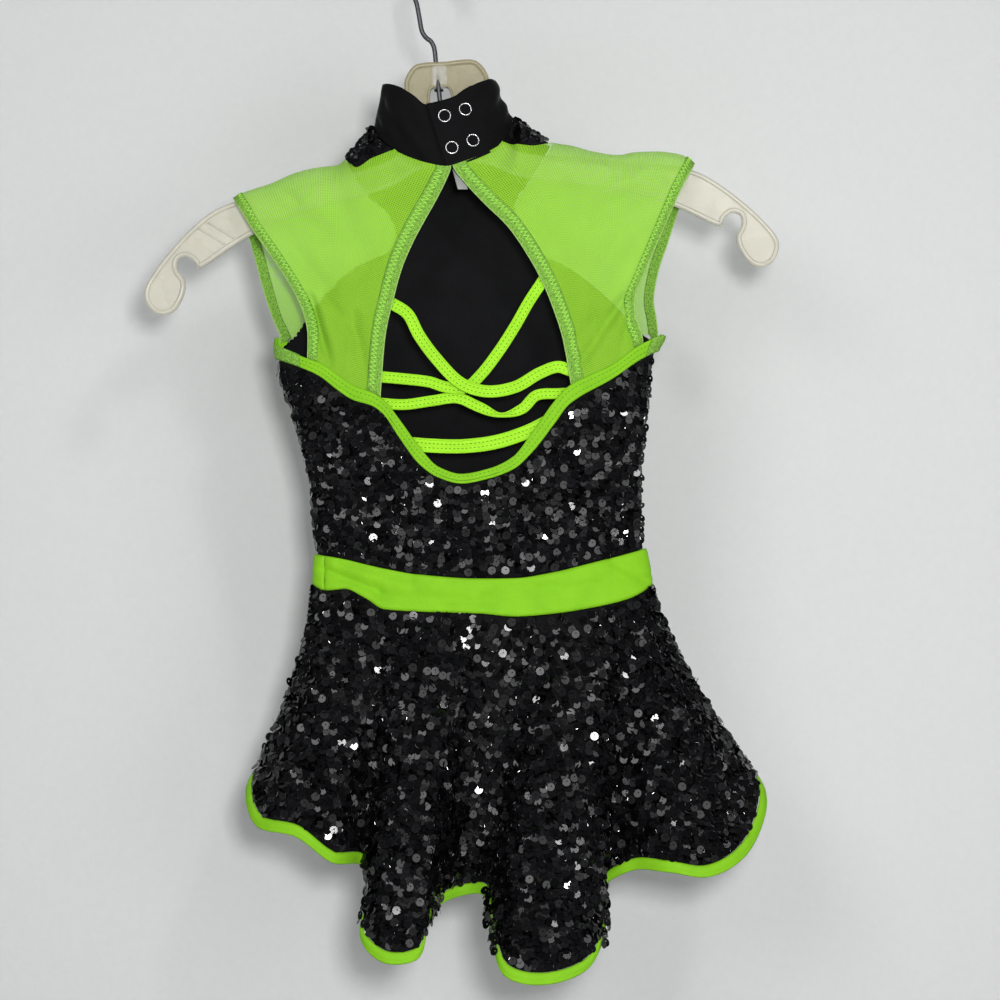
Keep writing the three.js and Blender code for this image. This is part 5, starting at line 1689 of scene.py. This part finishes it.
@dataclass
class Skirt:
    """Circle skirt in folds, its bound hem, and the brief inside it."""

    hem_width: float = 6.0
    cloth: float = 0.8
    right_fold: int = 23
    # v that all sequins reach, and that those on the middle folds' turned sides reach
    reach: float = 0.99
    overhang: float = 1.035
    # v from which those stand out, and how far
    proud: tuple[float, float] = (0.975, 1.9)
    # how far such a side faces sideways, and its first and last fold count and lowest hem z
    turned: float = 0.5
    sides: Rows = ((4.0, 6.6, -533.0), (8.4, 9.7, -535.0), (12.2, 13.7, -547.0), (16.2, 17.8, -543.0))
    sequins: Sequins = field(default_factory=lambda: Sequins(seed=11, inset=0.6, lean=10, tilt=14))
    # share round the waist from the left side over the back, x, y, z at the hem, how late it opens
    folds: Rows = (
        (0.0, -113.5, 0, -464, 1.6), (0.03, -105, -20, -480, 1.5), (0.07, -82, -32, -484, 1.3),
        (0.11, -63, -31, -498, 1.2), (0.145, -47, -14, -503, 1.2), (0.165, -42, -26, -520, 1.2),
        (0.18, -45.5, -43, -538, 1.2), (0.2, -32, -55, -548, 1.2), (0.22, -15, -53, -546, 1.2),
        (0.235, -11, -39, -532, 1.2), (0.25, -3, -19, -523, 1.2), (0.27, 10, -11, -519.6, 1.2),
        (0.29, 21, -19, -518.6, 1.2), (0.305, 25.2, -38, -537, 1.2), (0.325, 33, -56, -555, 1.2),
        (0.35, 53, -59, -558.6, 1.2), (0.375, 76.5, -51, -552, 1.2), (0.39, 86, -36, -536, 1.2),
        (0.405, 84.5, -16, -517, 1.2), (0.425, 103, -22, -504, 1.2), (0.445, 122, -36, -502.5, 1.25),
        (0.465, 144, -36, -505, 1.3), (0.485, 166, -23, -495, 1.3), (0.5, 180, 0, -469, 1.3),
        (0.525, 174, 20, -456, 1.3), (0.58, 148, 34, -453, 1.25), (0.64, 122, 22, -451, 1.2),
        (0.69, 98, 37, -454, 1.2), (0.74, 62, 40, -456, 1.2), (0.79, 38, 25, -453, 1.2),
        (0.84, 8, 38, -456, 1.2), (0.885, -30, 40, -456, 1.2), (0.925, -58, 25, -453, 1.2),
        (0.96, -90, 31, -455, 1.3), (0.985, -109, 17, -457, 1.5),
    )
    # side (front 1, back -1), height, half width, depth of the brief
    brief_rows: Rows = (
        (1, -346, 92, 14.6), (1, -372, 90.5, 12.6), (1, -398, 88, 12), (1, -425, 58, 11), (1, -455, 32, 10),
        (1, -485, 19, 7), (0, -496, 17, 0), (-1, -485, 24, 7), (-1, -455, 48, 10), (-1, -425, 76, 11),
        (-1, -398, 88, 12), (-1, -372, 90.5, 12.6), (-1, -346, 92, 14.6),
    )
    brief_centre: float = 19.9

    def __post_init__(self) -> None:
        """Make the hem curve."""
        table = np.asarray(self.folds, float)
        self.hem = Path(table[:, 1:4], closed=True)
        self.shares = np.append(table[:, 0], 1.0)
        self.eases = np.append(table[:, 4], table[0, 4])

    def surface(self, u: Array, v: Array) -> Array:
        """Skirt: straight rows from the waist to the folded hem.

        Args:
            u: Fold count from the left side.
            v: 0 at the waist to 1 at the hem.

        Returns:
            waist + (hem - waist) * v^ease across and in depth, and straight in height.
        """
        u, v = np.broadcast_arrays(u, v)
        count = len(self.folds)
        turn = np.clip(u, 0, count - 1e-6)
        share = np.interp(turn, np.arange(count + 1), self.shares)
        ease = np.interp(turn, np.arange(count + 1), self.eases)
        tube = np.where(share < 0.5, share * 2, 2 - share * 2)
        waists = []
        for face in Face:
            z = FORM.tube_z(tube, FORM.waist_bottom[face], -350) - SEAM_GAP * 2
            waists.append(FORM.point(FORM.tube_x(tube, z), z, face))
        waist = np.where((share < 0.5)[..., None], *waists)
        end = self.hem(turn / count)
        opened = np.clip(v, 0, 1) ** ease
        level = lerp(waist[..., 2], end[..., 2], v)
        flat = lerp(waist[..., :2], end[..., :2], opened[..., None])
        return np.concatenate([flat, level[..., None]], -1)

    def hem_share(self, u: Array) -> Array:
        """Share of each row where the hem binding starts."""
        drop = self.surface(u, np.ones_like(u)) - self.surface(u, np.zeros_like(u))
        return 1 - self.hem_width / np.linalg.norm(drop, axis=-1)

    def panel(self, u: Array, v: Array) -> Array:
        """Skirt down to the hem binding."""
        return self.surface(u, v * (self.hem_share(u) - 0.002))

    def sequin_places(self, start: float, end: float) -> tuple[Array, Array, Array]:
        """Sequin rows that run straight on the flat-cut ring of cloth.

        Args:
            start: First fold count.
            end: Last fold count.

        Returns:
            u, v and the flat angle of each: a straight grid over a ring sector with the hem's and waist's lengths.
        """
        rng = np.random.default_rng(self.sequins.seed)
        fine = np.linspace(start, end, 700)
        levels = np.linspace(0, 1, 40)
        points = sheet_points(self.panel, fine, levels)
        hem = Sequins.travel(points[-1][None])[0]
        waist = Sequins.travel(points[0][None])[0][-1]
        down = Sequins.travel(points.transpose(1, 0, 2))
        length = float(down[:, -1].mean())
        angle = (hem[-1] - waist) / length
        inner, outer = waist / angle, waist / angle + down[:, -1].max()
        x = np.arange(-outer, outer, self.sequins.across)
        y = np.arange(-outer, outer, self.sequins.along)
        x, y = np.meshgrid(x, y)
        y = y + np.repeat(rng.random((1, x.shape[1])), x.shape[0], 0) * self.sequins.along
        x = x + rng.normal(size=x.shape) * self.sequins.stray
        radius, theta = np.hypot(x, y), np.arctan2(x, y)
        half = angle / 2
        inside = (np.abs(theta) < half - 0.006) & (radius > inner + 1.2)
        radius, theta = radius[inside], theta[inside]
        u = np.interp((theta + half) / angle * hem[-1], hem, fine)
        v = (radius - inner) / np.interp(u, fine, down[:, -1])
        keep = v < self.overhang
        return u[keep], v[keep], theta[keep]

    def cover(self, name: str, start: float, end: float) -> bpy.types.Object:
        """Sequins of one part of the skirt.

        Args:
            name: Piece name.
            start: First fold count.
            end: Last fold count.

        Returns:
            The joined sequins.
        """
        u, v, theta = self.sequin_places(start, end)
        du, dv = 0.02, 0.004
        along = self.panel(u + du, v) - self.panel(u - du, v)
        down = self.panel(u, v + dv) - self.panel(u, v - dv)
        normal = unit(np.cross(along, down)) * -1
        row = np.cos(theta)[:, None] * unit(down) - np.sin(theta)[:, None] * unit(along)
        height = self.surface(u, np.ones_like(u))[:, 2]
        beside = np.zeros(len(u), bool)
        for first, last, foot in self.sides:
            beside |= (u > first) & (u < last) & (height > foot)
        beside &= np.abs(normal[:, 0]) > self.turned
        keep = (v < self.reach) | beside
        proud = np.where((v > self.proud[0]) & beside, self.proud[1], 0.0)
        return self.sequins.build(name, self.panel(u, v)[keep], normal[keep], row[keep], SequinGloss(), proud[keep])

    def brief(self, u: Array, v: Array) -> Array:
        """Brief: one strip from the front waist (v 0) under the crotch to the back waist (v 1)."""
        table = np.asarray(self.brief_rows, float)
        path = Path(np.stack([table[:, 2], table[:, 0] * table[:, 3], table[:, 1]], -1))
        centre = path(v)
        across = 2 * u - 1
        last = len(table) - 1
        round_ = np.where(np.abs(v * last - last / 2) < 1.5, 1,
                          np.maximum(1 - np.abs(across) ** FORM.section_power, 0) ** (1 / FORM.section_power))
        blend = -np.clip((centre[..., 2] + 470) / -60, -1, 0)
        y = centre[..., 1] * lerp(1, round_, blend) + np.sign(centre[..., 1]) * SEAM_GAP
        ripple = 0.5 * np.sin(across * 9 + centre[..., 2] * 0.09) * blend
        return np.stack([self.brief_centre + across * centre[..., 0], y + ripple, centre[..., 2]], -1)

    def build(self, trims: Trims) -> list[bpy.types.Object]:
        """Skirt panels, sequins, hem and brief.

        Args:
            trims: Maker of crowned bindings and their stitches.

        Returns:
            The new pieces.
        """
        count = len(self.folds)
        rows = np.linspace(0, 1, 40)
        parts = {"back": (0.015, self.right_fold), "front": (self.right_fold, count - 0.015)}
        hem_u = np.linspace(0.015, count - 0.015, 620)
        hem = self.hem_share(hem_u)
        points = self.surface(hem_u[None], lerp(hem[None], 1, np.linspace(0, 1, 9)[:, None]))
        binding = cloth_sheet("hem_binding_cloth", trims.crowned(points, 0.8), LimeSpandex(), 1.2)
        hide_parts("hem_binding")

        def hem_band(u: Array, v: Array) -> Array:
            """Hem binding, v 0 at its upper edge to 1 at the hem."""
            return self.surface(u, lerp(self.hem_share(u), 1, v))

        stitched = np.linspace(0.05, count - 0.05, 1500)
        stitches = trims.edge_stitches("hem_binding_stitches", hem_band, stitched, 0.18, 1.0)
        made = [binding, stitches]
        # fold count where the back's sequins are parted in two pieces
        middle = 13.0
        spans = {"back": [(0.0, middle, "back_left"), (middle, self.right_fold, "back_right")],
                 "front": [(self.right_fold, count, "front")]}
        sizes = {"back": ((0.50, 0.28), 0.049), "front": ((0.42, 0.16), 0.0265)}
        for name, (start, end) in parts.items():
            columns = np.linspace(start, end, 230 if name == "back" else 150)
            cloth = cloth_sheet(f"skirt_{name}_cloth", self.sequins.under(sheet_points(self.panel, columns, rows)),
                                SequinBacking(), self.cloth)
            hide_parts(f"skirt_{name}")
            covers = [self.cover(f"skirt_{part}_sequins", a, b) for a, b, part in spans[name]]
            flat, area = sizes[name]
            made += [cloth, *covers]
        brief = cloth_sheet("brief_jersey", sheet_points(self.brief, np.linspace(0, 1, 56), np.linspace(0, 1, 100)),
                            BlackJersey(), 0.9)
        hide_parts("brief")
        return [*made, brief]


# Hanger

@dataclass
class Hanger:
    """Frosted plastic hanger: a thin plate with a raised rim, ribs and a clear boss, and its wire hook."""

    tilt: float = 4.6
    centre: tuple[float, float] = (-0.9, -58.4)
    plate_half: float = 1.3
    rim: tuple[float, float] = (1.5, 2.4)
    wire_radius: float = 1.35
    bend_radius: float = 17
    outline: Rows = (
        (0, 7), (15, 7), (19, 5), (23.5, -2), (24, -9), (22, -26), (26, -38), (36, -46), (50, -50), (64, -52),
        (80, -54.6), (95, -57.4), (110, -60), (125, -62.4), (138, -67), (149, -74.4), (162, -86), (173, -98),
        (179, -107), (179.6, -113), (175.5, -120.6), (168.5, -123), (162, -119.6), (156.4, -109), (156.6, -103.6),
        (159.6, -98.4), (159.4, -93), (154.8, -91), (150, -94.4), (148.6, -98.4), (144.5, -97), (127, -87),
        (112, -80), (90, -73), (60, -66), (36, -61), (20, -53), (0, -50),
    )
    # level frame: x0, z0, x1, z1 of the left arm's ribs
    ribs: Rows = ((-146.6, -75.3, -132.3, -85.8), (-140.5, -72.9, -126.3, -83.1))
    # x0, x1, z0, z1 in the level frame
    window: tuple[float, float, float, float] = (-9.4, 1.2, -20, -7.6)
    # how much the edges are eased
    ease: float = 0.3
    shank: Rows = ((-3.0, -82), (-4.4, -72), (-5.6, -60), (-6.6, -51.4), (-7.6, -43.4), (-9.4, -39.8),
                   (-12.0, -37.8), (-14.3, -34.4), (-15.8, -27), (-17.4, -18.6))

    def world(self, level: Array, y: Array | float = 0) -> Array:
        """Points of the level frame (x, z) turned by the tilt about the hub and put in place."""
        a = math.radians(self.tilt)
        x = self.centre[0] + level[..., 0] * math.cos(a) - level[..., 1] * math.sin(a)
        z = self.centre[1] + level[..., 0] * math.sin(a) + level[..., 1] * math.cos(a)
        return np.stack([x, np.broadcast_to(y, x.shape), z], -1)

    def rounded(self) -> Array:
        """Whole outline, mirrored and rounded, in the level frame."""
        half = np.asarray(self.outline, float)
        other = half[-2:0:-1] * [-1, 1]
        return Path(np.concatenate([half, other]), closed=True)(np.linspace(0, 1, 361)[:-1])

    def window_loop(self, count: int) -> Array:
        """Rounded outline of the window as count points of the level frame."""
        x0, x1, z0, z1 = self.window
        corners = np.array([(x0, z0), (x1, z0), (x1, z1), (x0, z1)])
        return Path(corners, closed=True)(np.linspace(0, 1, count + 1)[:-1])

    def plate(self) -> bpy.types.Object:
        """Filled plate with eased edges and the window of the wire's boss."""
        curve = bpy.data.curves.new("hanger_outline", "CURVE")
        curve.dimensions = "2D"
        curve.fill_mode = "BOTH"
        curve.extrude = (self.plate_half - self.ease) * MM
        curve.bevel_depth = self.ease * MM
        curve.offset = -self.ease * MM
        for loop in (self.rounded(), self.window_loop(32)):
            spline = curve.splines.new("POLY")
            spline.points.add(len(loop) - 1)
            flat = np.concatenate([loop * MM, np.zeros((len(loop), 1)), np.ones((len(loop), 1))], 1)
            spline.points.foreach_set("co", flat.astype(np.float32).ravel())
            spline.use_cyclic_u = True
        holder = bpy.data.objects.new("hanger_outline", curve)
        bpy.context.scene.collection.objects.link(holder)
        bpy.context.view_layer.update()
        mesh = bpy.data.meshes.new_from_object(holder.evaluated_get(bpy.context.evaluated_depsgraph_get()))
        bpy.data.objects.remove(holder)
        flat = np.zeros(len(mesh.vertices) * 3, np.float32)
        mesh.vertices.foreach_get("co", flat)
        flat = flat.reshape(-1, 3) / MM
        places = self.world(flat[:, :2], -flat[:, 2]) * MM
        mesh.vertices.foreach_set("co", places.astype(np.float32).ravel())
        mesh.update()
        obj = bpy.data.objects.new("hanger_plate", mesh)
        bpy.context.scene.collection.objects.link(obj)
        mesh.materials.clear()
        mesh.materials.append(FrostedPlastic().material())
        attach(obj, BODY_NAME)
        FrostedPlastic().slot
        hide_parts("hanger_body")
        return obj

    def bar(self, name: str, level: Array, half: tuple[float, float], closed: bool = False) -> bpy.types.Object:
        """Rounded bar of the plate along a line of the level frame."""
        points = self.world(level)
        return sweep(name, FrostedPlastic(), points, to_viewer(points), *half, sides=12, closed=closed)

    def boss(self) -> bpy.types.Object:
        """Clear block moulded round the wire, above the window."""
        line = lerp(np.array([-3.4, 6.2]), np.array([-4.1, -7.4]), np.linspace(0, 1, 12)[:, None])
        points = self.world(line)
        return sweep("hanger_boss", ClearPlastic(), points, to_viewer(points), 5.4, 2.1, sides=16)

    def build(self) -> list[bpy.types.Object]:
        """Plate, rim, ribs, boss and hook.

        Returns:
            The new pieces.
        """
        outline = self.rounded()
        along = unit(np.roll(outline, -1, 0) - np.roll(outline, 1, 0))
        inset = outline + np.stack([along[:, 1], -along[:, 0]], -1) * self.rim[0]
        made = [self.plate(), self.bar("hanger_rim", inset, self.rim, closed=True)]
        t = np.linspace(0, 1, 8)[:, None]
        for index, (x0, z0, x1, z1) in enumerate(self.ribs):
            line = lerp(np.array([x0, z0]), np.array([x1, z1]), t)
            made.append(self.bar(f"hanger_rib_{index + 1}", line, (0.8, 2.0)))
        made.append(self.boss())
        made.append(self.bar("hanger_window_rim", self.window_loop(40), (0.9, 2.3), closed=True))
        angle = np.radians(np.linspace(176, 3, 48))
        radius = self.bend_radius + self.wire_radius
        arc = np.stack([radius * np.cos(angle), -self.bend_radius + radius * np.sin(angle)], -1)
        path = Path(np.concatenate([np.asarray(self.shank, float), arc]))(np.linspace(0, 1, 260))
        points = np.stack([path[:, 0], -1.5 * np.clip((-58 - path[:, 1]) / 8, 0, 1), path[:, 1]], -1)
        hook = sweep("hook_wire", Steel(), points, to_viewer(points), self.wire_radius, self.wire_radius, sides=14)
        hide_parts("hanger_hook")
        low = np.array([-4.9, 0, -67.5])
        head = low + np.array([[0, 0, 0.7], [0, 0, 0.35], [0, 0, -0.35], [0, 0, -0.7]])
        flange = sweep("hook_flange", Steel(), head, to_viewer(head), np.array([2.2, 2.7, 2.7, 2.2]),
                       np.array([2.0, 2.3, 2.3, 2.0]), sides=18)
        made += [hook, flange]
        return made


# Stage

@dataclass
class Studio:
    """Pale wall and floor, soft lights, a small bright light by the camera, and the camera."""

    camera: tuple[float, float, float] = (0.02966, -1.150, -0.2989)
    # metres that the picture spans at the garment, and the sensor's width in millimetres
    frame_width: float = 0.565
    sensor: float = 36
    wall_y: float = 0.11
    floor_z: float = -0.80

    def area(self, name: str, place: Sequence[float], aim: Sequence[float], size: float, power: float,
             tint: Sequence[float] = (1, 1, 1)) -> None:
        """Add an area light.

        Args:
            name: Light name.
            place: Where it is.
            aim: What it points at.
            size: Its side.
            power: Watts.
            tint: Its colour.
        """
        light = bpy.data.lights.new(name, "AREA")
        light.size = size
        light.energy = power
        light.color = tint
        obj = bpy.data.objects.new(name, light)
        bpy.context.scene.collection.objects.link(obj)
        obj.location = place
        obj.rotation_euler = (Vector(aim) - Vector(place)).to_track_quat("-Z", "Y").to_euler()

    def build(self) -> None:
        """Make the stage, the lights and the camera."""
        bend = 0.12
        a = np.linspace(0, np.pi / 2, 16)
        profile = np.concatenate([
            [[-2.4, self.floor_z]],
            np.stack([self.wall_y - bend + bend * np.sin(a), self.floor_z + bend - bend * np.cos(a)], -1),
            [[self.wall_y, 1.3]]])
        x = np.linspace(-2.2, 2.2, 12)
        points = np.stack([np.broadcast_to(x, (len(profile), 12)), np.repeat(profile[:, :1], 12, 1),
                           np.repeat(profile[:, 1:], 12, 1)], -1) / MM
        backdrop = make_stage("backdrop", points, PaleWall())
        backdrop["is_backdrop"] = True
        scene = bpy.context.scene
        world = bpy.data.worlds.new("soft_room")
        world.use_nodes = True
        colour, strength = world.node_tree.nodes["Background"].inputs[:2]
        colour.default_value = (0.9, 0.93, 1.0, 1)
        strength.default_value = 0.14
        scene.world = world
        middle = (0.02, 0, -0.32)
        self.area("soft_key", (-0.75, -1.5, 0.45), middle, 0.7, 8)
        self.area("soft_fill", (1.0, -1.3, -0.25), middle, 0.7, 4.5)
        self.area("small_flash", (0.12, -1.17, -0.20), (0.02, 0, -0.36), 0.13, 8.5)
        self.area("ceiling_lamp", (0.45, -1.0, 0.5), middle, 0.12, 2.0)
        camera = bpy.data.cameras.new("camera")
        camera.sensor_width = self.sensor
        camera.lens = self.sensor * -self.camera[1] / self.frame_width
        camera.clip_start = 0.01
        obj = bpy.data.objects.new("camera", camera)
        scene.collection.objects.link(obj)
        obj.location = self.camera
        obj.rotation_euler = (math.pi / 2, 0, 0)
        scene.camera = obj
        scene.view_settings.view_transform = "Standard"


def make_stage(name: str, points: Array, finish: Finish) -> bpy.types.Object:
    """Stage piece from a grid of points, facing the object, which rides on nothing."""
    mesh = bpy.data.meshes.new(name)
    faces = grid_faces(*points.shape[:2])[:, ::-1]
    mesh.from_pydata((points.reshape(-1, 3) * MM).tolist(), [], faces.tolist())
    mesh.materials.append(finish.material())
    mesh.polygons.foreach_set("use_smooth", np.ones(len(faces), bool))
    obj = bpy.data.objects.new(name, mesh)
    bpy.context.scene.collection.objects.link(obj)
    return obj


def write_sizes() -> None:
    """Work out the CAD box and the visual model's box side by side."""
    boxes = [[list(map(float, corner)) for corner in box] for box in (CAD_BOX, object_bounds())]


def main() -> None:
    """Build the garment, the hanger and the stage in order, and report each piece."""
    logging.basicConfig(level=logging.INFO, format="%(message)s")
    trims = Trims()
    makers: list[Callable[[], list[bpy.types.Object]]] = [
        Hanger().build, Bodices().build, Yokes().build, Collar().build, trims.build, lambda: Skirt().build(trims),
    ]
    for maker in makers:
        for piece in maker():
            LOG.info("%s: %d faces", piece.name, len(piece.data.polygons))
    Studio().build()
    write_sizes()


if __name__ == "__main__":
    main()
